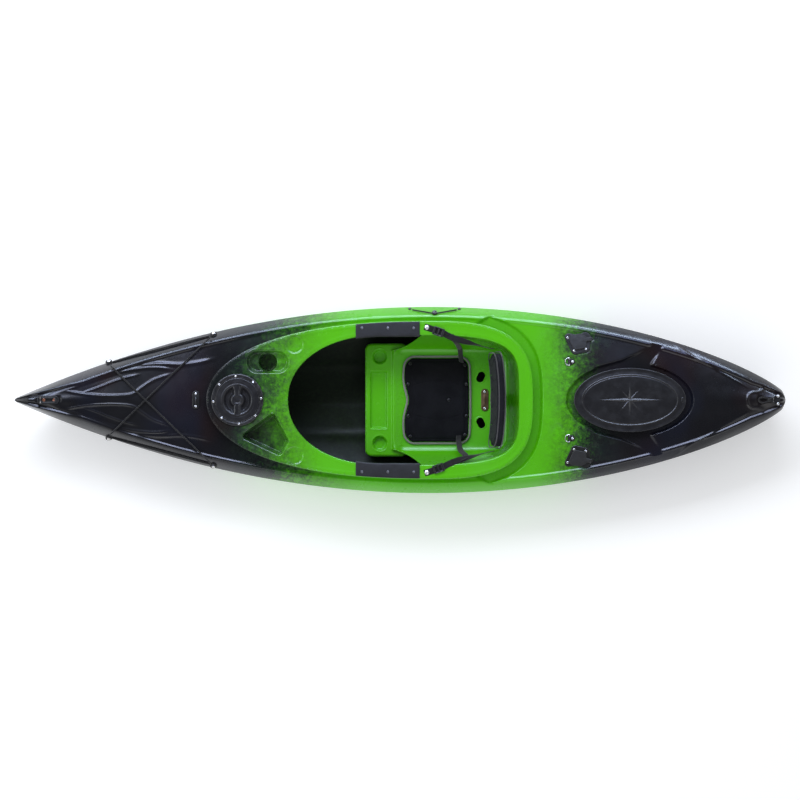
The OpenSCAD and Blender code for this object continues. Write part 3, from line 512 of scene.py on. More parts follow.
def tube(path, radius, sides=14, up=(0, 0, 1), closed=False, twist=0.0):
    """Grid of a round tube along a path, with a spun braid when twist is set."""
    path = np.asarray(path, float)
    if closed:
        ext = np.vstack([path[-1:], path, path[:1]])
        t, side, nor = (a[1:-1] for a in tangent_frames(ext, up))
    else:
        t, side, nor = tangent_frames(path, up)
    run = arc_length(path)
    a = circle(sides)
    r = np.broadcast_to(radius, len(path))[:, None] * np.ones(sides)
    if twist:
        r = r * (1 + 0.045 * np.sin(3 * a[None, :] + run[:, None] / twist)
                 * np.sin(3 * a[None, :] - run[:, None] / twist))
    return (path[:, None] + side[:, None] * (np.cos(a)[None, :, None] * r[..., None]) + nor[:, None]
            * (np.sin(a)[None, :, None] * r[..., None]))


def add_parts(name, grids, faces_of, look, body="hull"):
    """One mesh from several grids; faces_of(n, m) gives the faces of one."""
    faces, start = [], 0
    for n, m in (g.shape[:2] for g in grids):
        faces += [[start + k for k in f] for f in faces_of(n, m)]
        start += n * m
    return add_mesh(name, np.vstack([g.reshape(-1, 3) for g in grids]), faces, look, body)


def add_tubes(name, tubes, look, body="hull", closed=False):
    def faces(n, m):
        ends = [] if closed else [list(range(m)), [(n - 1) * m + k for k in range(m - 1, -1, -1)]]
        return grid_faces(n, m, wrap_i=closed, wrap_j=True).tolist() + ends
    return add_parts(name, tubes, faces, look, body)


def add_turned(name, grids, look):
    """One mesh from several turned shapes."""
    return add_parts(name, grids, lambda n, m: grid_faces(n, m, wrap_i=True).tolist(), look)


def ribbon(path, sides_dir, width, thick, nw=7):
    """Closed flat strap along a path: sides_dir is its width direction at each point."""
    path = np.asarray(path, float)
    t = np.gradient(path, axis=0)
    t /= np.linalg.norm(t, axis=1)[:, None]
    w = np.asarray(sides_dir, float)
    w = w - np.sum(w * t, 1)[:, None] * t
    w /= np.linalg.norm(w, axis=1)[:, None]
    nor = np.cross(t, w)
    u = np.linspace(-0.5, 0.5, nw)
    edge = 0.5 - 0.35 * np.abs(2 * u) ** 6
    ring = [(a * width, h * thick) for a, h in zip(u, edge)]
    ring += [(a * width, -h * thick) for a, h in zip(u[::-1], edge[::-1])]
    return np.stack([path + w * a + nor * h for a, h in ring], 1)


def lathe(profile, centre, axis=(0, 0, 1), count=64):
    """Grid of a turned shape from (radius, height) points about an axis through centre."""
    z = Vector(axis).normalized()
    x = z.orthogonal().normalized()
    y = z.cross(x)
    a = circle(count)
    c = np.array(centre, float)
    return np.stack([c + r * (np.cos(a)[:, None] * np.array(x) + np.sin(a)[:, None] * np.array(y))
                     + h * np.array(z) for r, h in profile], 1)


def join(name, objs):
    """One object from several on the same body, named after the first one."""
    for o in bpy.context.selected_objects:
        o.select_set(False)
    for o in objs:
        o.select_set(True)
    bpy.context.view_layer.objects.active = objs[0]
    bpy.ops.object.join()
    objs[0].name = name
    return objs[0]


def islands(node):
    """Points of each separate solid of a CAD node, in millimetres."""
    bm = bmesh.new()
    bm.from_mesh(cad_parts[node].data)
    bmesh.ops.remove_doubles(bm, verts=bm.verts, dist=1e-6)
    seen, out = set(), []
    for v in bm.verts:
        if v in seen:
            continue
        stack, part = [v], []
        seen.add(v)
        while stack:
            a = stack.pop()
            part.append(tuple(a.co))
            for e in a.link_edges:
                b = e.other_vert(a)
                if b not in seen:
                    seen.add(b)
                    stack.append(b)
        out.append(np.array(part) / MM)
    bm.free()
    return out


def screw_axis(points):
    """Axis direction, top point on it and head radius of a screw-shaped solid."""
    c = (points.min(0) + points.max(0)) / 2
    _, _, vt = np.linalg.svd(points - points.mean(0), full_matrices=False)
    best = None
    for k in range(3):
        d = vt[k] if vt[k][2] > 0 else -vt[k]
        h = (points - c) @ d
        radial = np.linalg.norm((points - c) - np.outer(h, d), axis=1)
        spread = h.max() - h.min()
        low = np.median(radial[h < h.min() + 0.1 * spread])
        if best is None or spread > best[0]:
            best = (spread, d, h, radial)
    _, d, h, radial = best
    mid = points[h < h.min() + 0.05 * (h.max() - h.min())].mean(0)
    top = mid + d * (h.max() - h.min())
    off = points - mid
    reach = np.linalg.norm(off - np.outer(off @ d, d), axis=1).max()
    return d, top, reach


def screw_head(top, axis, radius, height, spin, washer):
    """Grid of a domed head with a cross recess, on a washer if that has a radius."""
    z = Vector(axis).normalized()
    x = Vector((math.cos(spin), math.sin(spin), 0))
    x = (x - x.dot(z) * z).normalized()
    y = z.cross(x)
    n, m = 48, 13
    a = circle(n)
    rr = radius * np.sin(np.linspace(0.02, np.pi / 2, m))
    u = rr[None, :] * np.cos(a)[:, None]
    v = rr[None, :] * np.sin(a)[:, None]
    dome = height * ((1 - (rr / radius) ** 2.4) ** 0.75)[None, :] * np.ones((n, 1)) - height
    arm = np.minimum(np.maximum(np.abs(u) / (0.14 * radius), np.abs(v) / (0.56 * radius)),
                     np.maximum(np.abs(v) / (0.14 * radius), np.abs(u) / (0.56 * radius)))
    dome = dome - 0.55 * height * smooth((1.25 - arm) / 0.4)
    rows = [(u, v, dome)]
    rim = -height - 0.25 * height
    rows.append((u[:, -1:], v[:, -1:], np.full((n, 1), rim)))
    if washer:
        for r, h in ((washer - 0.6, rim + 0.2), (washer, rim - 0.3), (washer, rim - 1.5)):
            rows.append((r * np.cos(a)[:, None], r * np.sin(a)[:, None], np.full((n, 1), h)))
    U, V, H = (np.hstack(c) for c in zip(*rows))
    return (np.array(top)[None, None] + U[..., None] * np.array(x) + V[..., None] * np.array(y)
            + H[..., None] * np.array(z))


def add_screws(name, node, look, height, washer=False):
    """Heads on all the screws of a CAD node."""
    heads = []
    for k, part in enumerate(islands(node)):
        axis, top, radius = screw_axis(part)
        heads.append(screw_head(top, axis, radius * (0.62 if washer else 1.0), height,
                                spin=0.4 + 1.7 * k, washer=radius if washer else 0))

    def faces(n, m):
        return grid_faces(n, m, wrap_i=True).tolist() + [[k * m for k in range(n)][::-1]]
    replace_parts(add_parts(name, heads, faces, look), node)


# ---- materials ----------------------------------------------------------------------------


class Nodes:
    """Short names for the shader nodes of one material."""

    def __init__(self, name):
        self.mat = bpy.data.materials.new(name)
        self.mat.use_nodes = True
        self.tree = self.mat.node_tree
        self.bsdf = self.tree.nodes["Principled BSDF"]
        self.pos = self.tree.nodes.new("ShaderNodeTexCoord").outputs["Object"]
        self.xyz = None

    def link(self, value, socket):
        if isinstance(value, (int, float)):
            socket.default_value = value
        elif isinstance(value, (tuple, list)):
            if len(value) == 3 and len(socket.default_value) == 4:
                value = (*value, 1)
            socket.default_value = value
        else:
            self.tree.links.new(value, socket)

    def math(self, op, a, b, clamp=False):
        n = self.tree.nodes.new("ShaderNodeMath")
        n.operation = op
        n.use_clamp = clamp
        self.link(a, n.inputs[0])
        self.link(b, n.inputs[1])
        return n.outputs[0]

    def mul(self, a, b):
        return self.math("MULTIPLY", a, b)

    def add(self, a, b, clamp=False):
        return self.math("ADD", a, b, clamp=clamp)

    def sub(self, a, b, clamp=False):
        return self.math("SUBTRACT", a, b, clamp=clamp)

    def lower(self, a, b):
        return self.math("MINIMUM", a, b)

    def upper(self, a, b):
        return self.math("MAXIMUM", a, b)

    def axis(self, k):
        if self.xyz is None:
            n = self.tree.nodes.new("ShaderNodeSeparateXYZ")
            self.link(self.pos, n.inputs[0])
            self.xyz = n.outputs
        return self.xyz[k]

    def stretch(self, scale, vector=None, turn=(0, 0, 0)):
        n = self.tree.nodes.new("ShaderNodeMapping")
        self.link(vector or self.pos, n.inputs["Vector"])
        n.inputs["Scale"].default_value = scale
        n.inputs["Rotation"].default_value = turn
        return n.outputs[0]

    def noise(self, scale, detail=3.0, rough=0.55, vector=None, distort=0.0):
        n = self.tree.nodes.new("ShaderNodeTexNoise")
        self.link(vector or self.pos, n.inputs["Vector"])
        n.inputs["Scale"].default_value = scale
        n.inputs["Detail"].default_value = detail
        n.inputs["Roughness"].default_value = rough
        n.inputs["Distortion"].default_value = distort
        return n.outputs[0]

    def wave(self, scale, vector=None, bands="X", distort=0.0):
        n = self.tree.nodes.new("ShaderNodeTexWave")
        n.bands_direction = bands
        self.link(vector or self.pos, n.inputs["Vector"])
        n.inputs["Scale"].default_value = scale
        n.inputs["Distortion"].default_value = distort
        return n.outputs[1]

    def voronoi(self, scale, vector=None, feature="F1"):
        n = self.tree.nodes.new("ShaderNodeTexVoronoi")
        n.feature = feature
        self.link(vector or self.pos, n.inputs["Vector"])
        n.inputs["Scale"].default_value = scale
        return n.outputs["Distance"]

    def ramp(self, value, stops):
        n = self.tree.nodes.new("ShaderNodeValToRGB")
        self.link(value, n.inputs[0])
        e = n.color_ramp.elements
        while len(e) < len(stops):
            e.new(0.5)
        for k, (p, c) in enumerate(stops):
            e[k].position = p
            e[k].color = (*c, 1) if isinstance(c, tuple) else (c, c, c, 1)
        return n.outputs[0]

    def span(self, value, lo, hi, a=0.0, b=1.0):
        n = self.tree.nodes.new("ShaderNodeMapRange")
        n.interpolation_type = "SMOOTHSTEP"
        self.link(value, n.inputs[0])
        for k, v in zip((1, 2, 3, 4), (lo, hi, a, b)):
            n.inputs[k].default_value = v
        return n.outputs[0]

    def mix(self, fac, a, b, blend="MIX"):
        n = self.tree.nodes.new("ShaderNodeMix")
        n.data_type = "RGBA"
        n.blend_type = blend
        self.link(fac, n.inputs[0])
        self.link(a, n.inputs[6])
        self.link(b, n.inputs[7])
        return n.outputs[2]

    def edges(self, lo=0.505, hi=0.56):
        g = self.tree.nodes.new("ShaderNodeNewGeometry")
        return self.span(g.outputs["Pointiness"], lo, hi)

    def bump(self, height, distance, strength=1.0, normal=None):
        n = self.tree.nodes.new("ShaderNodeBump")
        n.inputs["Distance"].default_value = distance
        n.inputs["Strength"].default_value = strength
        self.link(height, n.inputs["Height"])
        if normal is not None:
            self.link(normal, n.inputs["Normal"])
        return n.outputs[0]

    def out(self, color, rough, metallic=0.0, normal=None, **more):
        self.link(color, self.bsdf.inputs["Base Color"])
        self.link(rough, self.bsdf.inputs["Roughness"])
        self.link(metallic, self.bsdf.inputs["Metallic"])
        if normal is not None:
            self.link(normal, self.bsdf.inputs["Normal"])
        for k, v in more.items():
            self.link(v, self.bsdf.inputs[k.replace("_", " ")])
        return self.mat


BLACK = (0.0075, 0.0075, 0.0105)
LIME = (0.098, 0.52, 0.004)


def hull_colour(n, region):
    """Green amidships, black at both ends, mottled where they meet."""
    x, y, z = n.axis(0), n.axis(1), n.axis(2)
    big = n.noise(7.0, 4, 0.6)
    small = n.noise(62.0, 5, 0.72)
    fleck = n.noise(190.0, 3, 0.8)
    speck = n.add(n.mul(n.sub(small, 0.5), 1.5), n.mul(n.sub(fleck, 0.5), 0.9))
    cloud = n.mul(n.sub(big, 0.5), 1.3)
    bow0, bow1, stern0, stern1 = {"deck": (-0.74, -0.10, 0.52, 0.90),
                                  "console": (-0.80, -0.24, 0.62, 0.9),
                                  "side": (-0.86, -0.46, 0.60, 0.86),
                                  "seat": (-0.9, -0.5, 0.9, 1.1)}[region]
    bow = n.span(x, bow0, bow1)
    stern = n.span(x, stern1, stern0)
    green = n.lower(bow, stern)
    # the mixture is strongest half way and fades to plain colour at both sides
    middle = n.mul(n.mul(green, n.sub(1.0, green)), 4.0)
    amount = {"deck": 0.80, "console": 0.62, "side": 0.6, "seat": 0.3}[region]
    mottle = n.mul(n.add(cloud, speck), n.mul(middle, amount))
    mask = n.add(green, mottle, clamp=True)
    if region == "side":
        # flame-edged boundary on the bottom
        warp = n.noise(9.0, 4, 0.65, vector=n.stretch((1.0, 3.2, 3.2)), distort=1.6)
        lick = n.wave(4.2, vector=n.stretch((1.0, 4.5, 4.5)), bands="Y", distort=9.0)
        edge = n.add(n.mul(n.sub(warp, 0.5), 0.17), n.mul(n.sub(lick, 0.5), 0.05))
        shifted = n.add(x, edge)
        sharp = n.lower(n.span(shifted, -0.775, -0.765), n.span(shifted, 0.815, 0.805))
        near = n.upper(n.mul(n.span(x, -0.80, -0.76), n.span(x, -0.60, -0.68)),
                       n.mul(n.span(x, 0.84, 0.80), n.span(x, 0.64, 0.72)))
        smear = n.span(n.noise(26.0, 5, 0.7, vector=n.stretch((0.8, 1.6, 1.6)), distort=2.6), 0.53,
                       0.60)
        sharp = n.sub(sharp, n.mul(n.mul(near, smear), 0.85), clamp=True)
        mask = n.mix(n.span(z, 0.085, 0.045), mask, sharp)
    color = n.ramp(mask, [(0.0, BLACK), (0.22, (0.010, 0.020, 0.017)),
                          (0.48, (0.032, 0.115, 0.016)), (0.74, (0.075, 0.34, 0.007)), (1.0, LIME)])
    # pale haze over the mottled zones and a warm cast in the black
    haze = n.mul(middle, n.span(n.noise(24.0, 4, 0.7), 0.45, 0.85))
    color = n.mix(n.mul(haze, 0.22), color, (0.20, 0.33, 0.20))
    warm = n.mul(n.span(n.noise(3.1, 2, 0.5), 0.50, 0.72), n.sub(1.0, mask))
    color = n.mix(n.mul(warm, 0.55), color, (0.026, 0.009, 0.008))
    # painted reflection: a blue cast over the black patches stands in for the sky reflected in the
    # plastic
    painted_sky_reflection = n.mul(n.span(n.noise(2.3, 2, 0.5, vector=n.stretch((1.3, 1.0, 1.0))), 0.52, 0.72),
                 n.sub(1.0, mask))
    color = n.mix(n.mul(painted_sky_reflection, 0.5), color, (0.010, 0.013, 0.030))
    if region == "side":
        # soft brown scuffs across the bottom
        patch = n.mul(n.mul(n.span(x, -0.34, -0.26), n.span(x, -0.08, -0.14)),
                      n.mul(n.span(z, 0.06, 0.02),
                            n.span(n.noise(30.0, 4, 0.6, vector=n.stretch((1.5, 1.0, 1.0))), 0.54,
                                   0.66)))
        color = n.mix(n.mul(patch, 0.35), color, (0.10, 0.22, 0.01))
    return color, mask


def plastic_skin(name, region):
    """Moulded polyethylene skin."""
    n = Nodes(name)
    color, mask = hull_colour(n, region)
    shade = n.span(n.noise(1.7, 3, 0.5), 0.25, 0.8)
    color = n.mix(n.mul(shade, 0.10), color, (0.03, 0.20, 0.0), "MULTIPLY")
    # convex edges lightened in speckled patches: partly wear, partly a painted highlight along the
    # edges
    wear_and_painted_highlight = n.mul(n.edges(0.53, 0.62), n.span(n.noise(85.0, 4, 0.7), 0.42, 0.72))
    color = n.mix(n.mul(wear_and_painted_highlight, 0.25), color, (0.42, 0.55, 0.40))
    rough = n.add(n.span(n.noise(5.5, 4, 0.6), 0.3, 0.75, 0.20, 0.33),
                  n.mul(n.noise(240.0, 2, 0.6), 0.05))
    peel = n.bump(n.noise(420.0, 2, 0.5), 0.00018, 0.8)
    sag = n.bump(n.noise(9.0, 2, 0.5), 0.0011, 1.0, peel)
    scratch = n.noise(36.0, 3, 0.6, vector=n.stretch((0.6, 14.0, 9.0), turn=(0, 0, 0.25)))
    fine = n.bump(n.span(scratch, 0.66, 0.72), 0.00010, 0.5, sag)
    return n.out(color, rough, normal=fine, Coat_Weight=0.25, Coat_Roughness=0.12,
                 Specular_IOR_Level=0.42)


def inner_skin(name):
    """Unpolished inside of the hull: nearly black with a green cast."""
    n = Nodes(name)
    speck = n.span(n.noise(70.0, 5, 0.75), 0.35, 0.75)
    cloud = n.span(n.noise(6.0, 3, 0.6), 0.35, 0.75)
    color = n.mix(speck, (0.009, 0.016, 0.009), (0.015, 0.030, 0.012))
    color = n.mix(n.mul(cloud, 0.6), color, (0.005, 0.013, 0.006))
    rough = n.span(n.noise(12.0, 3, 0.6), 0.3, 0.7, 0.36, 0.55)
    return n.out(color, rough, normal=n.bump(n.noise(300.0, 3, 0.6), 0.0003, 0.8),
                 Specular_IOR_Level=0.25)


def moulded(name, color, rough=0.42, grain=520.0, coat=0.0, lift=(0.10, 0.10, 0.105)):
    """Injection-moulded part with a fine grain, and edges lightened: partly rubbed wear, partly a
    painted highlight.
    """
    n = Nodes(name)
    tone = n.span(n.noise(18.0, 4, 0.6), 0.3, 0.75)
    c = n.mix(n.mul(tone, 0.35), color, tuple(v * 1.7 + 0.004 for v in color))
    # edges lightened towards lift: partly rubbed wear, partly a painted highlight
    wear_and_painted_highlight = n.mul(n.edges(), n.span(n.noise(120.0, 3, 0.7), 0.40, 0.65))
    c = n.mix(n.mul(wear_and_painted_highlight, 0.55), c, lift)
    r = n.span(n.noise(30.0, 3, 0.6), 0.3, 0.75, rough - 0.07, rough + 0.09)
    b = n.bump(n.noise(grain, 3, 0.6), 0.00022, 0.8)
    return n.out(c, r, normal=b, Coat_Weight=coat, Coat_Roughness=0.2)


def rubber(name, color=(0.012, 0.012, 0.013)):
    n = Nodes(name)
    dust = n.span(n.noise(60.0, 5, 0.7), 0.45, 0.8)
    c = n.mix(n.mul(dust, 0.5), color, (0.035, 0.035, 0.034))
    c = n.mix(n.mul(n.edges(0.51, 0.58), 0.5), c, (0.06, 0.06, 0.06))
    r = n.span(n.noise(90.0, 3, 0.6), 0.3, 0.7, 0.55, 0.78)
    return n.out(c, r, normal=n.bump(n.noise(700.0, 2, 0.6), 0.0002, 0.9), Sheen_Weight=0.15)


def metal(name, color, rough=0.24):
    n = Nodes(name)
    tarnish = n.span(n.noise(150.0, 4, 0.65), 0.4, 0.8)
    c = n.mix(n.mul(tarnish, 0.45), color, tuple(v * 0.55 for v in color))
    r = n.add(n.span(n.noise(45.0, 3, 0.6), 0.3, 0.7, rough - 0.06, rough + 0.12),
              n.mul(tarnish, 0.1))
    turned = n.wave(260.0, vector=n.stretch((1, 1, 3)), bands="Z", distort=1.0)
    return n.out(c, r, 1.0, n.bump(turned, 0.00004, 0.6))


def fabric(name, color, light, thread=1100.0, sheen=0.12):
    """Plain-woven nylon: two sets of threads in space, so no map is needed."""
    n = Nodes(name)
    warp = n.wave(thread / 6.283, bands="X")
    weft = n.wave(thread / 6.283, bands="Y")
    rise = n.wave(thread / 6.283, bands="Z")
    weave = n.mul(n.upper(warp, rise), weft)
    tone = n.span(n.noise(11.0, 4, 0.6), 0.3, 0.75)
    c = n.mix(weave, color, light)
    c = n.mix(n.mul(tone, 0.4), c, tuple(v * 0.6 for v in color))
    fluff = n.mul(n.span(n.noise(420.0, 3, 0.8), 0.55, 0.8), 0.25)
    c = n.mix(fluff, c, tuple(min(1, v * 2.2 + 0.01) for v in light))
    b = n.bump(weave, 0.0004, 0.7)
    b = n.bump(n.noise(38.0, 3, 0.6), 0.0012, 0.6, b)
    return n.out(c, n.span(tone, 0, 1, 0.72, 0.9), normal=b, Sheen_Weight=sheen,
                 Sheen_Roughness=0.5, Specular_IOR_Level=0.14)


def foam(name, color=(0.016, 0.016, 0.018)):
    """Closed-cell foam: small pits in a matt skin."""
    n = Nodes(name)
    pits = n.span(n.voronoi(520.0), 0.10, 0.45)
    cloud = n.span(n.noise(16.0, 4, 0.6), 0.35, 0.75)
    c = n.mix(pits, tuple(v * 0.5 for v in color), color)
    c = n.mix(n.mul(cloud, 0.5), c, tuple(v * 1.9 for v in color))
    c = n.mix(n.mul(n.edges(0.51, 0.57), 0.5), c, tuple(v * 3.2 for v in color))
    b = n.bump(pits, 0.0003, 0.7)
    return n.out(c, n.span(cloud, 0, 1, 0.60, 0.76), normal=n.bump(n.noise(45.0, 3, 0.5), 0.0006,
                                                                   0.7, b), Sheen_Weight=0.05)


# slot and material of each look
LOOKS = {
    "deck": ("hull_plastic", plastic_skin("skin_deck", "deck")),
    "side": ("hull_plastic", plastic_skin("skin_bottom", "side")),
    "console": ("hull_plastic", plastic_skin("skin_console", "console")),
    "seat": ("hull_plastic", plastic_skin("skin_seat", "seat")),
    "inside": ("hull_plastic", inner_skin("skin_inside")),
    "black": ("black_plastic", moulded("black_nylon", (0.011, 0.011, 0.012))),
    "gloss": ("black_plastic", moulded("black_gloss", (0.007, 0.007, 0.009), rough=0.3, coat=0.3)),
    "lid": ("hatch_plastic", moulded("hatch_polymer", (0.012, 0.012, 0.015), rough=0.36,
                                     grain=380.0, coat=0.15)),
    "cap": ("cap_rubber", rubber("cap_rubber")),
    "seal": (None, rubber("seal_rubber", (0.02, 0.02, 0.021))),
    "steel": ("stainless", metal("stainless_steel", (0.78, 0.77, 0.75))),
    "dark_steel": ("stainless", metal("blackened_steel", (0.18, 0.18, 0.19), 0.34)),
    "brass": ("stainless", metal("brass", (0.62, 0.36, 0.13))),
    "copper": ("stainless", metal("copper_screw", (0.62, 0.27, 0.17), 0.3)),
    "bronze": ("stainless", metal("aged_bracket", (0.30, 0.20, 0.11), 0.42)),
    "pad": ("pad_fabric", fabric("pad_fabric", (0.003, 0.003, 0.005), (0.009, 0.009, 0.012),
                                 sheen=0.03)),
    "binding": ("pad_fabric", fabric("pad_binding", (0.17, 0.17, 0.17), (0.36, 0.36, 0.35), 1500.0,
                                     0.5)),
    "back": ("backrest_fabric", fabric("back_fabric", (0.006, 0.006, 0.009), (0.017, 0.017, 0.024),
                                       sheen=0.06)),
    "web": ("webbing", fabric("webbing", (0.008, 0.008, 0.009), (0.032, 0.032, 0.034), 1300.0,
                              0.25)),
    "thread": ("backrest_fabric", fabric("seam_thread", (0.05, 0.05, 0.055), (0.10, 0.10, 0.11),
                                         2200.0, 0.3)),
    "cord": ("shock_cord", fabric("shock_cord", (0.007, 0.007, 0.008), (0.035, 0.035, 0.037),
                                  2400.0, 0.3)),
    "foam": ("pad_fabric", foam("thigh_foam", (0.009, 0.009, 0.011))),
    "float": (None, foam("float_foam", (0.62, 0.62, 0.60))),
    "grey_foam": (None, foam("block_foam", (0.07, 0.07, 0.075))),
}

# ---- hull skin: keel to sheer crease ------------------------------------------------------

# lengthwise groove: ends, distance off the keel, radius and centre height of its round bottom
GROOVE = (-960.0, 1040.0, 143.0, 44.0, -30.0)
KEEL_HALF = 17.5


def skin_section(x, a, inset):
    """Points of the bottom and topsides at stations x and angles a, 0 at the keel."""
    b = (half_beam(x) * end_round(x) - inset)[:, None]
    n = fullness(x)[:, None]
    k = (keel_z(x) + 6 + inset)[:, None]
    s = sheer_z(x)[:, None]
    y = np.maximum(b, 0.02) * np.sin(a)[None] ** (2 / n)
    z = s - (s - k) * np.maximum(0, np.cos(a))[None] ** (2 / n)
    return y, z


def groove_lift(x, y, inset):
    """Height of the lengthwise grooves' surface."""
    x0, x1, yc, r, zc = GROOVE
    gap = np.maximum(0, np.maximum(x0 - x, x - x1))
    rr = (r + inset) ** 2 - (np.abs(y) - yc) ** 2 - gap ** 2
    return np.where(rr > 0, zc + np.sqrt(np.maximum(0, rr)), -1e3)


def end_spaced(x0, x1, n, pull=0.75):
    """Stations that gather towards both ends."""
    t = np.linspace(0, 1, n)
    c = (1 - np.cos(np.pi * t)) / 2
    return x0 + (x1 - x0) * ((1 - pull) * t + pull * c)


def hull_bottom():
    x = end_spaced(-HALF, HALF, 561, 0.62)
    t = np.linspace(0, 1, 77)
    a = np.pi / 2 * (0.55 * t + 0.45 * t ** 2)
    y, z = skin_section(x, a, 0)
    X = np.repeat(x[:, None], len(a), 1)
    soft = 3.0
    lift = groove_lift(X, y, 0)
    z = np.maximum(z, lift) + soft * np.exp(-((z - lift) / (1.6 * soft)) ** 2) * 0.35
    strip = np.minimum(KEEL_HALF, half_beam(x) * end_round(x) * 0.9)[:, None]
    turn = np.clip(y[:, -1:] - strip, 1e-4, 3.5)
    up = smooth((y - strip) / turn)
    z = np.minimum(z, z * up + keel_z(x)[:, None] * (1 - up))
    right = np.stack([X, y, z], -1)
    left = right[:, :0:-1] * np.array([1, -1, 1])
    P = np.concatenate([left, right], 1)
    add_grid("hull_bottom", P, "side")


# ---- deck ---------------------------------------------------------------------------------

BOW_LINES = [([(-1335, 35), (-1263, 61), (-1172, 92), (-1097, 114), (-1021, 126), (-956, 128),
               (-900, 120)], 3.6, 7.0),
             ([(-1260, 26), (-1200, 46), (-1145, 68), (-1085, 88), (-1029, 101)], 2.2, 4.4),
             ([(-1336, 42), (-1283, 29), (-1203, 19), (-1122, 17), (-1056, 24), (-1021, 48),
               (-971, 80), (-900, 104)], 3.0, 5.4),
             ([(-1050, 134), (-990, 141), (-930, 142), (-870, 140), (-810, 146), (-735, 162)], 3.0,
              7.5),]
STERN_LINES = [([(1371, 0), (1376, 19), (1391, 30), (1418, 33), (1434, 44)], 3.5, 4.5),
               ([(1082, 226), (1150, 178), (1230, 132), (1310, 86), (1372, 50)], 2.2, 4.0),]


def fitting_plane(x0, y0, sink):
    """Plane under a deck fitting, as the CAD source lays it."""
    sx = (deck_z(x0 + 20, y0) - deck_z(x0 - 20, y0)) / 40
    sy = (deck_z(x0, y0 + 10) - deck_z(x0, y0 - 10)) / 20
    z0 = deck_z(x0, y0) - sink
    return lambda x, y: z0 + sx * (x - x0) + sy * (y - y0)


def rod_flange(grow):
    pts = [((-38, 20), 15), ((-12, -34), 16), ((26, -22), 20), ((28, 18), 22), ((52, 12), 7)]

    def f(x, y):
        u, v = x - ROD[0], np.abs(y) - ROD[1]
        best = polygon([p for p, _ in pts])(u, v)
        for (a, ra), (b, rb) in zip(pts, pts[1:] + pts[:1]):
            best = np.minimum(best, capsule(a, b, ra, rb)(u, v))
        return best - grow
    return f


# how far the fittings' flats lie below the deck, and each flat's outline
SINK = 1.5
BOW_SINK = 4.0
FLATS = [(*ROD, SINK, rod_flange(3)), (*RING, SINK, both(disc(*RING, 20))),
         (BOW_HANDLE_X, 0, BOW_SINK, disc(BOW_HANDLE_X, 0, 50)),
         (PAD_EYE_X, 0, SINK, capsule((PAD_EYE_X, -24), (PAD_EYE_X, 24), 18, 18)),
         (STERN_HANDLE_X, 0, SINK, disc(STERN_HANDLE_X, 0, 52)),]


def deck_surface(x, y):
    z = upper_z(x, y)
    r = deck_half(x)
    # a soft ridge down the middle of the stern deck
    roof = clip01(1 - np.abs(y) / r)
    z = z + smooth((x - 1165) / 60) * (2.5 * roof ** 1.2
                                       - 2.0 * np.sin(np.pi * clip01(np.abs(y) / r)) ** 2)
    # and a shallow dip either side of it on the bow deck
    z = z - smooth((-x - 830) / 120) * smooth((x + 1400)
                                              / 90) * 2.4 * np.sin(np.pi
                                                                   * clip01(np.abs(y) / r)) ** 2
    for lines, rng in ((BOW_LINES, (-1360, -700)), (STERN_LINES, (1060, 1450))):
        m = (x > rng[0]) & (x < rng[1])
        if not m.any():
            continue
        add = np.zeros(np.count_nonzero(m))
        for pts, height, width in lines:
            c = curve_through(pts, 48)
            d = polyline_distance(c, x[m], np.abs(y[m]))
            ends = np.ones(np.count_nonzero(m))
            if pts[0][1]:
                ends = smooth((x[m] - c[0, 0]) / 45) * smooth((c[-1, 0] - x[m]) / 45)
            add = np.maximum(add, height * (0.25 + 0.75 * ends) * bell(d, width))
        z[m] += add
    for x0, y0, sink, shape in FLATS:
        for s in ((-1, 1) if y0 else (1,)):
            m = (np.abs(x - x0) < 90) & (np.abs(y - s * y0) < 90)
            if not m.any():
                continue
            plane = fitting_plane(x0, s * y0, sink)(x[m], y[m])
            keep = wall(shape(x[m], y[m]), 2.6 * sink, -1.3 * sink)
            side = (y[m] * s >= 0) if y0 else True
            z[m] = np.where(side, np.minimum(z[m], plane * (1 - keep) + z[m] * keep), z[m])
    m = x > 250
    for floor, shape, width in ((MOAT_FLOOR, moat, 9.0), (NOTCH_FLOOR, notch, 13.0)):
        z[m] = np.minimum(z[m], floor + (z[m] - floor) * wall(shape(x[m], y[m]), width))
    z = np.minimum(z, WELL_FLOOR + (z - WELL_FLOOR) * wall(stern_moat(x, y), 11.0))
    lip = rim_out(x, y)
    return np.where((lip < 3) & (x > 600), WELL_FLOOR + 20 * smooth((3 - lip) / 4.0), z)


def rod_hole(x, y):
    return np.hypot((x - 703) / 30, (np.abs(y) - 229) / 25) * 25 - 25


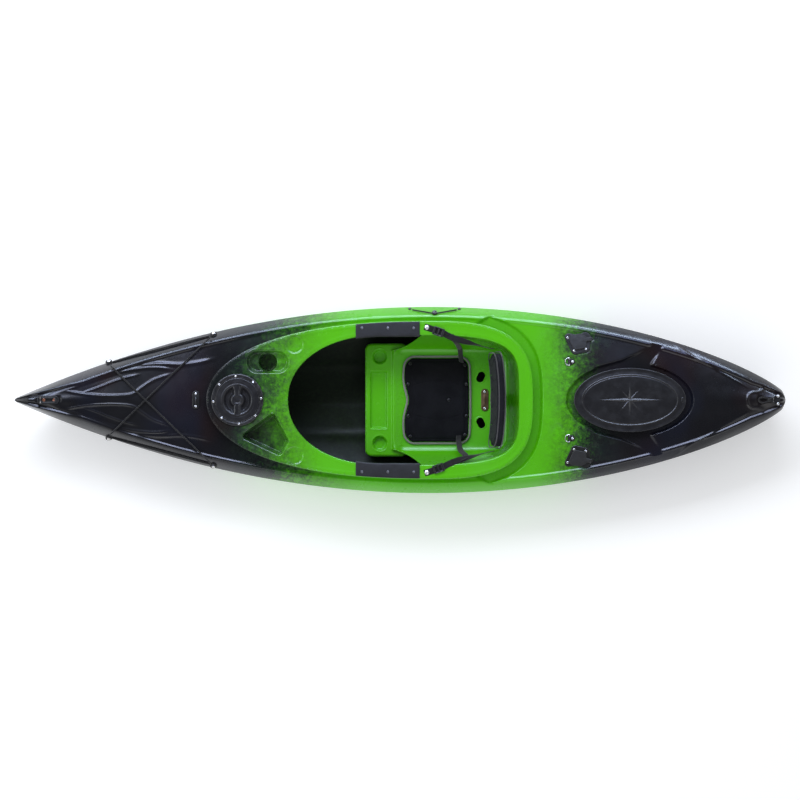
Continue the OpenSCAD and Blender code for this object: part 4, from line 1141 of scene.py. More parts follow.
def deck():
    x = end_spaced(-HALF, HALF, 781, 0.35)
    b, d, i = half_beam(x), deck_half(x), shoulder_in(x)
    zones = [(0 * b, d, 68), (d, b - i, 7), (b - i, b, 17)]
    side = np.concatenate([lo[:, None] + (hi - lo)[:, None] * np.linspace(0, 1, n)[None, k > 0:]
                           for k, (lo, hi, n) in enumerate(zones)], 1) * end_round(x)[:, None]
    Y = np.concatenate([-side[:, :0:-1], side], 1)
    X = np.repeat(x[:, None], Y.shape[1], 1)
    inner = np.zeros(X.shape, bool)
    inner[1:-1, 1:-1] = True
    xi, yi = X[inner], Y[inner]
    for f, levels, reach in ((coaming_base, (0,), 2.2), (moat, (0, -9), 1.9),
                             (stern_moat, (0, -11), 1.9), (rim_in, (0,), 1.9), (rim_out, (3,), 1.6),
                             (notch, (0,), 1.6), (rod_hole, (0,), 1.8)):
        snap(xi, yi, f, levels, reach)
    X[inner], Y[inner] = xi, yi
    Z = deck_surface(X.ravel(), (Y / end_round(X)).ravel()).reshape(X.shape)
    open_ = (coaming_base(X, Y) < -0.5) | (rim_in(X, Y) < -0.5) | (rod_hole(X, Y) < -0.5)
    P = np.stack([X, Y, Z], -1)
    cut = int(np.searchsorted(x, 60))
    bow = add_grid("hull_deck_bow", P[:cut + 1], "deck", keep=~open_[:cut + 1])
    add_grid("hull_deck_stern", P[cut:], "deck", keep=~open_[cut:])
    return bow


# ---- coaming, console and cockpit rim -----------------------------------------------------


def coaming_ring():
    p, n = egg_outline(*COAMING, 760)
    t = top_z(p[:, 0])
    base = p - n * LIP
    floor = deck_surface(base[:, 0] + n[:, 0] * 3, base[:, 1] + n[:, 1] * 3)
    rows = [(-9, t - 0.15), (-5.2, t), (-3.0, t - 0.35), (-1.3, t - 1.3), (-0.35, t - 2.9),
            (0, t - 5), (0, t - 9.5), (-0.5, t - 11.8), (-1.8, t - 13.4), (-4, t - 14),
            (-9, t - 14.2), (-12.4, t - 15), (-13.8, t - 17), (-14, t - 20), (-14, floor + 7),
            (-13.3, floor + 3), (-11.6, floor + 1), (-9, floor + 0.1), (-6.5, floor - 0.6)]
    add_grid("coaming_lip", sweep_loop(p, n, rows), "console", wrap_i=True, flip=True)
    p, n = egg_outline(*COCKPIT, 620)
    t = top_z(p[:, 0])
    rows = [(9, t - 0.15), (5.2, t), (3.0, t - 0.35), (1.3, t - 1.3), (0.35, t - 2.9), (0, t - 5),
            (0, t - 20), (0, t - 38), (0.5, t - 41), (2.2, t - 43.4), (5, t - 44), (9, t - 43)]
    add_grid("cockpit_rim", sweep_loop(p, n, rows), "console", wrap_i=True)


def console_surface(x, y):
    z = top_z(x)
    # slightly raised beads along both rims
    z = z + 1.3 * bell(coaming(x, y) + 13, 4.5) + 1.0 * bell(cockpit(x, y) - 12, 4.0)
    d = dish(x, y)
    z = z + 1.4 * bell(d - 4, 3.0) + 1.4 * bell(tray(x, y) - 4, 3.0)
    for s in (-1, 1):
        e = disc(INSERT_X, s * INSERT_Y, INSERT_R)(x, y)
        z = z + 0.9 * bell(e - 3, 2.2) - 3.4 * (1 - wall(e, 4.0)) - 0.8 * bell(e + 6, 1.8)
    z = z - 28 * (1 - wall(d, 11.0))
    z = np.where(cup(x, y) < 0, np.minimum(z, CUP_FLOOR + 62 * wall(cup(x, y), 6.5)), z)
    t = tray(x, y)
    z = np.where(t < 0, np.minimum(z, TRAY_FLOOR + 60 * wall(t, 12.0)), z)
    ring = disc(DAY[0], DAY[1], 103)(x, y)
    z = z - 1.0 * bell(ring - 2.5, 1.8)
    return z


def console():
    step = 3.2
    gx = np.arange(-768, 529, step)
    gy = np.arange(-316.8, 317, step)
    X, Y = np.meshgrid(gx, gy, indexing="ij")
    outer, inner = egg(*grown(COAMING, -4)), egg(*grown(COCKPIT, 4))
    hole = disc(DAY[0], DAY[1], 84)
    for f, levels in ((outer, (0,)), (inner, (0,)), (hole, (0,)), (dish, (0, -11)),
                      (cup, (0, -6.5)), (tray, (0, -12)), (insert_seats, (0, -4))):
        snap(X, Y, f, levels, 2.0)
    Z = console_surface(X, Y)
    ok = (outer(X, Y) < 0.4) & (inner(X, Y) > -0.4) & (hole(X, Y) > -0.4)
    add_grid("console_top", np.stack([X, Y, Z], -1), "console", keep=ok)
    add_grid("day_hatch_bore", lathe([(84.5, CONSOLE), (84, CONSOLE - 2), (84, CONSOLE - 30),
                                      (86, CONSOLE - 32)], (*DAY, 0), count=96), "console",
             wrap_i=True)


# ---- seat, shelf and footwell -------------------------------------------------------------


def seat_surface(x, y):
    a = np.abs(y)
    pan = pan_box(x, y)
    rim = -cockpit(x, y)
    up = clip01(np.maximum(0, pan) / np.maximum(1e-3, np.maximum(0, pan) + np.maximum(0, rim)))
    steep = 0.30 * up + 0.70 * up ** 1.7
    z = PAN + (TOP - 4 - PAN) * steep
    # dished pan with a raised front edge and rounded corners where it meets the walls
    inside = np.maximum(0, -pan)
    z = z + np.where(pan < 0, 9 * np.exp(-inside / 13), 9 * np.exp(-np.maximum(0, pan) / 9)
                     * (1 - up))
    z = z + 10 * bell(x + 20, 20) * (pan < 12)
    z = z + 2.0 * bell(x - 3, 10) * (a < 185)
    lumbar = bell(x - 318, 34) * np.exp(-(y / 120) ** 4)
    z = z - 2.5 * lumbar * (pan < 0)
    slot_ = both(lashing_slot)(x, y)
    z = z - 0.8 * bell(slot_ - 5, 3.5) + 2.2 * bell(slot_ - 2.5, 2.5)
    # shelf with two round recesses and a long one
    shelf = shelf_box(x, y)
    s = SHELF - 9 * (1 - np.sqrt(np.maximum(0, 1 - clip01((shelf + 10) / 10) ** 2)))
    cups = shelf_cups(x, y)
    well = shelf_well(x, y)
    s = s - 22 * (1 - wall(cups, 8.0)) + 1.2 * bell(cups - 3, 2.5)
    s = s - 12 * (1 - wall(well, 6.0)) + 1.4 * bell(well - 4, 2.5)
    step = smooth((x + 36) / 14)
    z = np.where(x < -22, s * (1 - step) + np.maximum(s, z) * step, z)
    return np.where((sill(x, y) < -0.3) & (a > 190), s, z)


def lashing_slot(x, y):
    """Oval slot beside the backrest, in starboard coordinates."""
    c, s = math.cos(math.radians(-25)), math.sin(math.radians(-25))
    u = (x - 324) * c + (y - 92) * s
    v = -(x - 324) * s + (y - 92) * c
    return capsule((0, -7), (0, 7), 15, 15)(u, v)


def sill(x, y):
    """Cut along the front edge of the seat's side walls: negative ahead of it."""
    p, q = np.array((-32.0, 198.0)), np.array((96.0, 262.0))
    d = (q - p) / np.linalg.norm(q - p)
    curve = 10 * np.sin(np.pi * clip01((x - p[0]) / (q[0] - p[0])))
    return (x - p[0]) * d[1] - (np.abs(y) - p[1]) * d[0] - curve


def seat():
    step = 2.5
    gx = np.arange(-145, 450, step)
    gy = np.arange(-240, 241, step)
    X, Y = np.meshgrid(gx, gy, indexing="ij")
    slots = both(lashing_slot)

    def outline(x, y):
        body = np.maximum(cockpit(x, y) + 27, -sill(x, y))
        body = np.maximum(body, -28 - x)
        return np.minimum(shelf_box(x, y), np.minimum(body, np.maximum(pan_box(x, y), -40 - x)))

    front = lambda x, y: np.where((np.abs(y) > 185) & (x < 110), sill(x, y), 99.0)
    for f, levels, reach in ((front, (0,), 1.8), (outline, (0,), 1.8), (slots, (0,), 1.7),
                             (shelf_cups, (0, -8), 1.3), (shelf_well, (0, -6), 1.3)):
        snap(X, Y, f, levels, reach)
    Z = seat_surface(X, Y)
    ok = (outline(X, Y) < 0.4) & (slots(X, Y) > -0.4)
    add_grid("seat_moulding", np.stack([X, Y, Z], -1), "seat", keep=ok)
    # the steep upper part of the walls follows the cockpit's outline
    p, n = egg_outline(*COCKPIT, 880)
    off = np.r_[3.2, 1.6, -np.linspace(0, 36, 41)]
    X, Y = p[:, :1] + n[:, :1] * off, p[:, 1:] + n[:, 1:] * off
    snap(X, Y, front, (0,), 1.6)
    tuck = 0.2 * smooth((-off - 18) / 6) - 3.0 * smooth((-off - 31) / 5)
    add_grid("seat_walls", np.stack([X, Y, seat_surface(X, Y) + tuck], -1), "seat",
             keep=(sill(X, Y) > -0.3) & (X > -40))
    # rolled edge along the front of both side walls
    beads = []
    for s in (-1, 1):
        xs = np.linspace(-20, 94, 90)
        lo, hi = np.full(90, 150.0), np.full(90, 300.0)
        lo = bisect(lambda y: sill(xs, y) > 0, lo, hi)
        path = np.c_[xs, s * lo, seat_surface(xs, lo) - 5 * smooth((-8 - xs) / 12)]
        path = path[cockpit(path[:, 0], path[:, 1]) < 1.0]
        beads.append(tube(path, 2.7, 12, up=(1, 0, 0.2)))
    outward(add_tubes("seat_wall_beads", beads, "seat"))
    # skirt below the shelf's edge
    ring = [(-139 + 24, -226 + 24, 180, 270), (8, -226 + 24, 270, 360), (8, 226 - 24, 0, 90),
            (-139 + 24, 226 - 24, 90, 180)]
    pts = np.array([(cx + 24 * math.cos(math.radians(t)), cy + 24 * math.sin(math.radians(t)))
                    for cx, cy, t0, t1 in ring for t in np.linspace(t0, t1, 10)])
    p, n = resample(pts, 300)
    rows = [(-0.6, SHELF - 8.6), (0, SHELF - 12), (0, SHELF - 24), (-2, SHELF - 34),
            (-9, SHELF - 36)]
    add_grid("shelf_skirt", sweep_loop(p, n, rows), "seat", wrap_i=True)


def footwell():
    x = np.linspace(-1300, 505, 300)
    t = np.linspace(0, 1, 61)
    a = np.pi / 2 * (0.55 * t + 0.45 * t ** 2)
    y, z = skin_section(x, a, 5)
    X = np.repeat(x[:, None], len(a), 1)
    ridge = groove_lift(X, y, 5)
    z = np.maximum(z, ridge) + 1.2 * bell(z - ridge, 5)
    z = np.where(y < 30, z - 6 * (1 - smooth((y - 13) / 5)), z)
    right = np.stack([X, y, z], -1)
    left = right[:, :0:-1] * np.array([1, -1, 1])
    add_grid("hull_inside", np.concatenate([left, right], 1), "inside", flip=True)


hull_bottom()
deck_bow = deck()
coaming_ring()
console()
seat()
footwell()
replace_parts(deck_bow, "hull_moulding")

# ---- fittings: frames, outlines and turned edges ------------------------------------------


def axes(*turns):
    m = Matrix.Identity(3)
    for axis, degrees in turns:
        m = m @ Matrix.Rotation(math.radians(degrees), 3, axis)
    return np.array(m)


def deck_frame(x, y, sink=SINK):
    """Origin and axes of a deck fitting, z along the deck's normal."""
    sx = float(deck_z(x + 20, y) - deck_z(x - 20, y)) / 40
    sy = float(deck_z(x, y + 10) - deck_z(x, y - 10)) / 20
    return (np.array([x, y, float(deck_z(x, y)) - sink]), axes(("Y", -math.degrees(math.atan(sx))),
                                                               ("X", math.degrees(math.atan(sy)))))


def flat_frame(x, y, z):
    return np.array([x, y, z], float), axes()


def moved(place, *offset):
    """A place shifted along its own axes."""
    return place[0] + place[1] @ np.array(offset), place[1]


def put(points, place, side=1):
    """Local points to the row frame, mirrored when side is -1."""
    o, r = place
    return o + (np.asarray(points, float) * np.array([1, side, 1])) @ r.T


def trace(f, c, reach, count=160):
    """Outline of a shape that is star-shaped about c, evenly spaced, with its normals."""
    a = circle(count * 4)
    lo, hi = np.zeros(len(a)), np.full(len(a), float(reach))
    lo = bisect(lambda r: f(c[0] + r * np.cos(a), c[1] + r * np.sin(a)) < 0, lo, hi, 34)
    return resample(np.c_[c[0] + lo * np.cos(a), c[1] + lo * np.sin(a)], count)


def edge(z0, z1, r, foot=0.6, steps=5):
    """Side of a moulded plate from its foot up, with the top edge rounded by r."""
    rows = [(-foot, z0), (0, z0 + foot)]
    return rows + [(-r * (1 - math.cos(a)), z1 - r + r * math.sin(a))
                   for a in np.linspace(0, np.pi / 2, steps)]


def button(outline, profile, centre, crown=0.0, rings=8):
    """Closed plate over a plan outline: under face, edge profile, crowned top."""
    p, n = outline
    c = np.array(centre, float)
    foot, last = p + n * profile[0][0], p + n * profile[-1][0]
    rows = [np.c_[c + (foot - c) * f, np.full(len(p), profile[0][1])]
            for f in np.linspace(0.003, 0.9, 4)]
    rows += [np.c_[p + n * off, np.full(len(p), z)] for off, z in profile]
    rows += [np.c_[c + (last - c) * f, np.full(len(p), profile[-1][1] + crown * (1 - f * f))]
             for f in np.linspace(0.93, 0.003, rings)]
    return np.stack(rows, 1)


def plate(name, outline, profile, centre, look, place, side=1, crown=0.0, body="hull", top=None):
    """A button put in place; top(x, y) adds relief to it."""
    P = button(outline, profile, centre, crown)
    if top is not None:
        P[..., 2] += top(P[..., 0], P[..., 1])
    return outward(add_grid(name, put(P, place, side), look, body, wrap_i=True))


def capsule_outline(a, r, count=96, along="x"):
    f = capsule((-a, 0), (a, 0), r, r) if along == "x" else capsule((0, -a), (0, a), r, r)
    return trace(f, (0, 0), a + r + 5, count)


def polish(node, look, width, segments=2):
    """A CAD piece shown as it is, with its edges eased and its own material."""
    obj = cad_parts[node]
    obj.data.materials.clear()
    obj.data.materials.append(LOOKS[look][1])
    shade_smooth(obj)
    weld = obj.modifiers.new("weld", "WELD")
    weld.merge_threshold = 2e-5
    bevel = obj.modifiers.new("ease", "BEVEL")
    bevel.width = width * MM
    bevel.segments = segments
    bevel.limit_method = "ANGLE"
    bevel.angle_limit = math.radians(32)
    bevel.use_clamp_overlap = True
    bevel.harden_normals = True


# ---- day hatch ----------------------------------------------------------------------------


def day_hatch():
    ring_profile = [(83.0, -25.6), (79.4, -25.6), (79.05, -25), (79.05, 2.4), (79.6, 3), (86.2, 3),
                    (87, 3.6), (87, 6.6), (87.9, 7.5), (89.4, 7.5), (90, 7.0), (90.6, 7.5),
                    (99.3, 7.5), (101.2, 7.0), (102.5, 5.8), (103, 4.4), (103, 2.0), (102.4, 1.75),
                    (95, 1.72), (84, 1.72), (83.3, 1.2)]
    ring = add_grid("day_hatch_flange", lathe(ring_profile, (*DAY, CONSOLE), count=144), "lid",
                    wrap_i=True)
    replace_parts(outward(ring), "day_hatch_ring")

    def relief(x, y):
        r = np.hypot(x, y)
        z = 10.5 - 0.9 * smooth((r - 64) / 20)
        z = z + 0.7 * bell(r - 61.5, 1.5) - 0.6 * bell(r - 66.5, 1.4)
        bar = 9.5 + 3.5 * smooth((y - 34) / 14) + 1.5 * smooth((-y - 40) / 14)
        d = np.maximum(np.maximum(r - 57, bar - np.abs(x)), 22 - r)
        z = z - 15.5 * (1 - wall(d, 13.0))
        z = z + 1.0 * bell(d - 2.0, 1.7)
        return z - 1.3 * (1 - wall(np.maximum(r - 14, 0 * r - 40), 3.0))

    rr = np.r_[np.linspace(0.3, 58, 46), np.linspace(59, 84, 22)]
    a = circle(264)
    X, Y = rr[None] * np.cos(a)[:, None], rr[None] * np.sin(a)[:, None]
    top = np.stack([X, Y, relief(X, Y)], -1)
    sides = lathe([(85.2, 9.1), (85.9, 8.2), (86, 6.6), (85.6, 5.95), (80, 5.9), (78.94, 5.4),
                   (78.94, -8.8), (76.2, -11.9), (72.4, -12), (72, -11.6), (72, -9.4), (60, -9),
                   (1, -9)], ORIGIN, count=264)
    turn = np.arctan2(sides[0, 0, 1], sides[0, 0, 0])
    c, s = math.cos(-turn), math.sin(-turn)
    xr, yr = sides[..., 0] * c - sides[..., 1] * s, sides[..., 0] * s + sides[..., 1] * c
    if yr[1, 0] < 0:
        yr = -yr
    P = np.concatenate([top, np.stack([xr, yr, sides[..., 2]], -1)], 1) + np.array([*DAY, CONSOLE])
    lid = add_grid("day_hatch_cover", P, "lid", "day_hatch_lid", wrap_i=True)
    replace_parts(outward(lid), "day_hatch_lid")
    add_screws("day_hatch_screw_heads", "day_hatch_screws", "steel", 2.0)
    polish("day_hatch_gasket", "seal", 0.3)
    polish("day_hatch_seal", "seal", 0.1)


# ---- stern hatch --------------------------------------------------------------------------


def star(x, y):
    """Raised eight-pointed star: two long arms, two short, four slim diagonals."""
    z = np.zeros(np.shape(x))
    for turn, reach, half in ((0, 140, 7.5), (90, 70, 7.0), (48, 68, 4.5), (-48, 68, 4.5)):
        c, s = math.cos(math.radians(turn)), math.sin(math.radians(turn))
        u, v = np.abs(x * c + y * s), np.abs(-x * s + y * c)
        w = half * clip01(1 - u / reach)
        z = np.maximum(z, np.where(w > 0.05, np.maximum(0, w - v) * 0.62, 0))
    return z


def stern_hatch():
    a, b = 221.5, 127.0
    rows = np.r_[np.linspace(0.002, 0.66, 74), np.linspace(0.67, 0.90, 36),
                 np.linspace(0.905, 0.985, 12)]
    t = circle(384)
    X = a * rows[None] * np.cos(t)[:, None]
    Y = b * rows[None] * np.sin(t)[:, None]

    def relief(x, y):
        e = np.hypot(x / a, y / b)
        inner = ellipse(0, 0, 190, 100)(x, y)
        band = ellipse(0, 0, 206, 114)(x, y)
        z = 7.2 + 2.6 * (1 - e * e)
        z = z + 1.3 * bell(inner + 0.5, 1.5) - 1.2 * bell(inner + 4.5, 2.2)
        z = z - 1.6 * bell(band, 9.0)
        return z + star(x, y)

    top = np.stack([X, Y, relief(X, Y)], -1)
    cs = np.c_[np.cos(t), np.sin(t)]
    side = []
    for off, z in ((-1.8, 6.6), (-0.6, 5.4), (0, 3.8), (0, 1.2), (-0.8, 0.2), (-3, 0), (-9, 0.1),
                   (-11.4, 0.0), (-11.5, -17.5), (-12.4, -18), (-15.6, -18), (-16.4, -17.4),
                   (-16.4, -0.2), (-40, 0), (-90, 0)):
        side.append(np.c_[(a + off) * cs[:, 0], np.maximum(1, b + off) * cs[:, 1],
                          np.full(len(t), z)])
    side.append(np.c_[cs * 1.0, np.zeros(len(t))])
    P = np.concatenate([top, np.stack(side, 1)], 1) + np.array([STERN[0], 0, 270.9])
    lid = add_grid("stern_hatch_cover", P, "lid", "stern_hatch_lid", wrap_i=True)
    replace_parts(outward(lid), "stern_hatch_lid")
    plate("stern_hatch_tab", capsule_outline(5, 5.5, 48, "y"), edge(-2.0, 2.6, 2.0), (0, 0), "lid",
          flat_frame(STERN[0] + 208, 0, 275.9), crown=0.6, body="stern_hatch_lid")
    polish("stern_hatch_seal", "seal", 0.3)


# ---- rod holders and tie rings ------------------------------------------------------------


def rod_outline():
    f = rod_flange(0.0)
    return trace(lambda u, v: f(u + ROD[0], np.abs(v + ROD[1])), (4, 0), 95, 200)


def rod_holders():
    cap_shape = polygon([(-24, 14), (-9, -19), (18, -14), (21, 13), (6, 20)], 13)
    hinge = capsule((18, 6), (44, 10.6), 9, 8)
    outline = trace(lambda u, v: np.minimum(cap_shape(u, v), hinge(u, v)), (4, 0), 70, 180)
    for name, s in SIDES:
        place = deck_frame(ROD[0], s * ROD[1])
        flange = plate("rod_flange_" + name, rod_outline(), edge(0.1, 4.1, 2.2), (4, 0), "black",
                       place, s)
        rake = (place[0], place[1] @ axes(("X", s * -10), ("Y", 30)))
        tube_grid = lathe([(21.2, -16), (21, -18), (21, -184), (1, -184.4), (1, -189.6),
                           (23.6, -190), (25, -188), (25, -8)], ORIGIN, count=56)
        pipe = add_grid("rod_tube_" + name, put(tube_grid, rake), "black", wrap_i=True)
        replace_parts(outward(pipe), "rod_holder_" + name)
        body = "rod_cap_" + name
        lift = moved(place, 0, 0, 4.5)
        cap = plate("rod_cover_" + name, outline, edge(0.1, 4.6, 2.4), (2, 1), "cap", lift, s,
                    crown=1.4, body=body, top=lambda x, y: -0.8 * bell(cap_shape(x, y) + 6, 1.6)
                    * (cap_shape(x, y) < -2))
        at = moved(lift, 50, s * 12, 2.4)[0]
        along = lift[1] @ axes(("Z", s * math.degrees(math.atan2(12, 50)))) @ np.array([0, 1.0, 0])
        barrel = add_grid("rod_barrel_" + name,
                          lathe([(0.01, -9), (1.7, -9), (2.2, -8.4), (2.2, -3.2), (1.9, -3),
                                 (1.9, 3), (2.2, 3.2), (2.2, 8.4), (1.7, 9), (0.01, 9)], at, along,
                                28), "cap", body, wrap_i=True)
        outward(barrel)
        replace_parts(cap, "rod_cap_" + name)
    add_screws("rod_screw_heads", "rod_holder_screws", "steel", 2.2)


def tie_rings():
    def hump(x, y):
        """Round back over the ring's pivot."""
        rise = 6.4 * np.sqrt(np.maximum(0, 1 - ((x + 10) / 5.2) ** 2)) - 0.2
        return np.where(np.abs(y) < 9.2, np.maximum(0, rise), 0) * (np.abs(x + 10) < 5.2)

    for name, s in SIDES:
        place = deck_frame(RING[0], s * RING[1])
        f = lambda u, v: np.minimum(capsule((0, 0), (0.01, 0), 11.2, 11.2)(u, v),
                                    polygon([(-14, -9), (-2, -9), (-2, 9), (-14, 9)], 3)(u, v))
        base = plate("tie_base_" + name, trace(f, (-4, 0), 30, 96), edge(0.1, 3.1, 1.4), (-4, 0),
                     "black", place, top=hump)
        pivot = moved(place, -10, 0, 5.2)
        a = np.linspace(np.pi / 2, 3 * np.pi / 2, 40)
        bend = [np.c_[15 * np.cos(a) - 2, 15 * np.sin(a), np.zeros(40)]]
        path = np.vstack([[[0, 0, 0]], [[0, 12, 0]], [[-0.6, 14.4, 0]], *bend, [[-0.6, -14.4, 0]],
                          [[0, -12, 0]]])
        path = curve_through(np.vstack([path, [[0, -0.3, 0]]]), 110)
        ring = add_tubes("tie_loop_" + name, [tube(put(path, pivot), 1.85, 16)], "steel",
                         "tie_ring_" + name)
        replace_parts(outward(ring), "tie_ring_" + name)
        if s == 1:
            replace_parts(base, "tie_ring_bases")
    add_screws("tie_screw_heads", "tie_ring_screws", "steel", 2.0)


# ---- bow fittings -------------------------------------------------------------------------


def ears(name, place, x, gap, thick, outline, centre):
    """Pair of upright lugs for a handle's pin."""
    profile = [(-0.8, 0), (0, 0.8), (0, thick - 0.8), (-0.8, thick)]
    for side, k in SIDES:
        at = moved(place, x, k * gap + thick / 2, 3.0)
        plate(name + "_ear_" + side, outline, profile, centre, "black",
              (at[0], at[1] @ axes(("X", 90))))


def handle_pin(name, pivot, half, radius, count):
    path = put([(0, y, 0) for y in np.linspace(-half, half, count)], pivot)
    outward(add_tubes(name + "_pin", [tube(path, radius, 16)], "steel", name))


def bow_handle():
    place = deck_frame(BOW_HANDLE_X, 0, BOW_SINK)
    base = plate("bow_handle_plate", capsule_outline(26, 17, 120), edge(0.1, 4.1, 2.4), (0, 0),
                 "black", place, crown=0.0, top=lambda x,
                 y: -1.2 * (1 - wall(capsule((-27, 0), (27, 0), 12, 12)(x, y), 2.5))
                 * (np.hypot(x, y) < 60))
    ears("bow_handle", place, -30, 13, 4.8, trace(capsule((0, 3), (0, 8.5), 5.2, 5.0), (0, 6), 20,
                                                  64), (0, 6))
    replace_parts(base, "bow_handle_base")
    pivot = moved(place, -30, 0, 11.5)
    loop = curve_through([(0, 0, 0), (0, 5, 0), (3, 8.6, 0), (12, 9.6, 0.6), (40, 9.8, 1.0),
                          (52, 8.4, 1), (58, 3.6, 1), (59, 0, 1), (58, -3.6, 1), (52, -8.4, 1),
                          (40, -9.8, 1.0), (12, -9.6, 0.6), (3, -8.6, 0), (0, -5, 0), (0, -0.3, 0)],
                         150)
    run = arc_length(loop)
    grip = 1 + 0.06 * np.sin(run * 1.6) * (np.abs(loop[:, 0] - 34) < 22)
    bail = add_tubes("bow_handle_loop", [tube(put(loop, pivot), 2.7 * grip, 18)], "cap",
                     "bow_handle")
    handle_pin("bow_handle", pivot, 15.4, 2.4, 12)
    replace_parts(outward(bail), "bow_handle")
    add_screws("bow_handle_screw_heads", "bow_handle_screws", "copper", 2.6)


def stern_handle():
    place = moved(deck_frame(STERN_HANDLE_X, 0), 30.0, 0, 0)
    shape = lambda u, v: np.minimum(polygon([(2, -15), (2, 15), (-16, 0)], 9)(u, v),
                                    capsule((-16, 0), (-15.9, 0), 12, 12)(u, v))
    base = plate("stern_handle_plate", trace(shape, (-6, 0), 40, 120), edge(0.1, 4.1, 2.0), (-6, 0),
                 "black", place)
    ears("stern_handle", place, -16, 8.5, 4.0, trace(capsule((0, 3), (0, 6), 5.0, 5.0), (0, 5), 20,
                                                     56), (0, 5))
    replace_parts(base, "stern_handle_base")
    pivot = moved(place, -16, 0, 9)
    half = [(0.8, 2.4, 2.8), (-7, 3.3, 2.2), (-16, 3.6, 0.8), (-24, 6.6, 0.2), (-36, 10.2, 0.6),
            (-48, 9.6, 0.6), (-55.5, 5.2, 0.2), (-57.5, 0, 0)]
    loop = curve_through(half + [(x, -y, z) for x, y, z in half[-2::-1]]
                         + [(2.4, -0.2, 1.9), (0.8, 2.2, 2.8)], 190)
    strands = []
    run = arc_length(loop)
    t, sd, nr = tangent_frames(loop, (0, 0, 1))
    thin = 0.42 + 0.58 * smooth((np.hypot(loop[:, 0], loop[:, 2]) - 4) / 6)
    for k in range(3):
        phase = run / 3.2 + k * 2 * np.pi / 3
        lay = (1.45 * thin)[:, None] * (sd * np.cos(phase)[:, None] + nr * np.sin(phase)[:, None])
        strands.append(tube(put(loop + lay, pivot), 1.75 * thin, 10))
    knot = []
    for k in range(3):
        c = np.linspace(0, 2 * np.pi, 40)
        turn = np.c_[-21 + k * 3.4 + 0.8 * np.sin(c), 6.8 * np.cos(c), 4.4 * np.sin(c) + 1.0]
        knot.append(tube(put(turn, pivot), 1.9, 10, up=(1, 0, 0.01)))
    rope = add_tubes("stern_handle_rope", strands + knot, "cord", "stern_handle")
    handle_pin("stern_handle", pivot, 10.2, 1.95, 10)
    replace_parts(outward(rope), "stern_handle")
    add_screws("stern_handle_screw_heads", "stern_handle_screws", "steel", 2.6)


EYES = [(-1155.0, 147.0), (-740.0, 258.0)]


def bungee():
    tubes, knots, eyes = [], [], []
    r = 2.9
    for s in (-1, 1):
        ends = {}
        for k, (x, y) in enumerate(EYES):
            o = np.array([x, s * y, float(upper_z(x, y))])
            m = axes(("X", -42 * s))
            eyes.append(lathe([(0.4, 12.0), (2.6, 12.1), (7.2, 12.0), (8.2, 11.2), (9.0, 8.6),
                               (10.4, 5.2), (11.2, 3.1), (12.6, 2.5), (13.0, 1.6), (13.0, -0.6),
                               (12.2, -1)], o, m @ np.array([0, 0, 1.0]), 44))
            ring = circle(48)
            turn = np.c_[11.2 * np.cos(ring), 11.2 * np.sin(ring), 5.0 + 0.8 * np.sin(2 * ring)]
            knots.append(tube(o + turn @ m.T, 2.5, 10, up=(0.1, 0.2, 1)))
            ends[k] = o
        for k in (0, 1):
            a, b = np.array(EYES[k]) * (1, s), np.array(EYES[1 - k]) * (1, s)
            d = (b - a) / np.linalg.norm(b - a)
            ends[k, "side"] = a + 13 * d
        a, b = ends[0, "side"], ends[1, "side"]
        u = np.linspace(0, 1, 60)
        xy = a + (b - a) * u[:, None]
        for off in (0.0, 4.6):
            bow_ = 1 - (2 * u - 1) ** 2
            path = np.c_[xy[:, 0], xy[:, 1] + s * (off - 2.3) * bow_ ** 0.5,
                         upper_z(xy[:, 0], xy[:, 1]) + r + 3.8 + 0.9 * bow_]
            tubes.append(tube(path, r * 0.86, 12, twist=1.4))
        a, b = np.array(EYES[0]) * (1, s), np.array(EYES[1]) * (1, -s)
        d = (b - a) / np.linalg.norm(b - a)
        a, b = a + 13 * d, b - 13 * d
        u = np.linspace(0, 1, 150)
        xy = a + (b - a) * u[:, None]
        inboard = np.sign(xy[:, 1]) * np.maximum(0, np.abs(xy[:, 1]) - 14)
        lift = 4.6 + (2.6 if s > 0 else 0) * bell(u - 0.38, 0.05)
        z = np.maximum(upper_z(xy[:, 0], inboard), upper_z(xy[:, 0], xy[:, 1])) + r + lift
        tubes.append(tube(np.c_[xy, z], r, 12, twist=1.4))
    cords = add_tubes("bungee_cords", tubes + knots, "cord")
    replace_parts(outward(cords), "bow_bungee")
    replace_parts(outward(add_turned("bungee_anchors", eyes, "black")), "bungee_eyes")
    add_screws("bungee_screw_heads", "bungee_eye_screws", "steel", 2.6)


def pad_eye():
    place = deck_frame(PAD_EYE_X, 0)
    base = plate("pad_eye_plate", capsule_outline(22, 14, 110, "y"), edge(0.1, 5.1, 2.2), (0, 0),
                 "black", place, top=lambda x, y: 0.9 * bell(np.hypot(x, y / 2.2) - 7, 2.2))
    arch = curve_through([(0, -14, 3), (0, -13.4, 8), (0, -11, 14.6), (0, -5.6, 19.3), (0, 0, 20.6),
                          (0, 5.6, 19.3), (0, 11, 14.6), (0, 13.4, 8), (0, 14, 3)], 60)
    bow_ = add_tubes("pad_eye_arch", [tube(put(arch, place), 3.3, 16, up=(1, 0, 0))], "black")
    outward(bow_)
    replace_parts(base, "bow_pad_eye")
    add_screws("pad_eye_screw_heads", "bow_pad_eye_screws", "steel", 2.4)


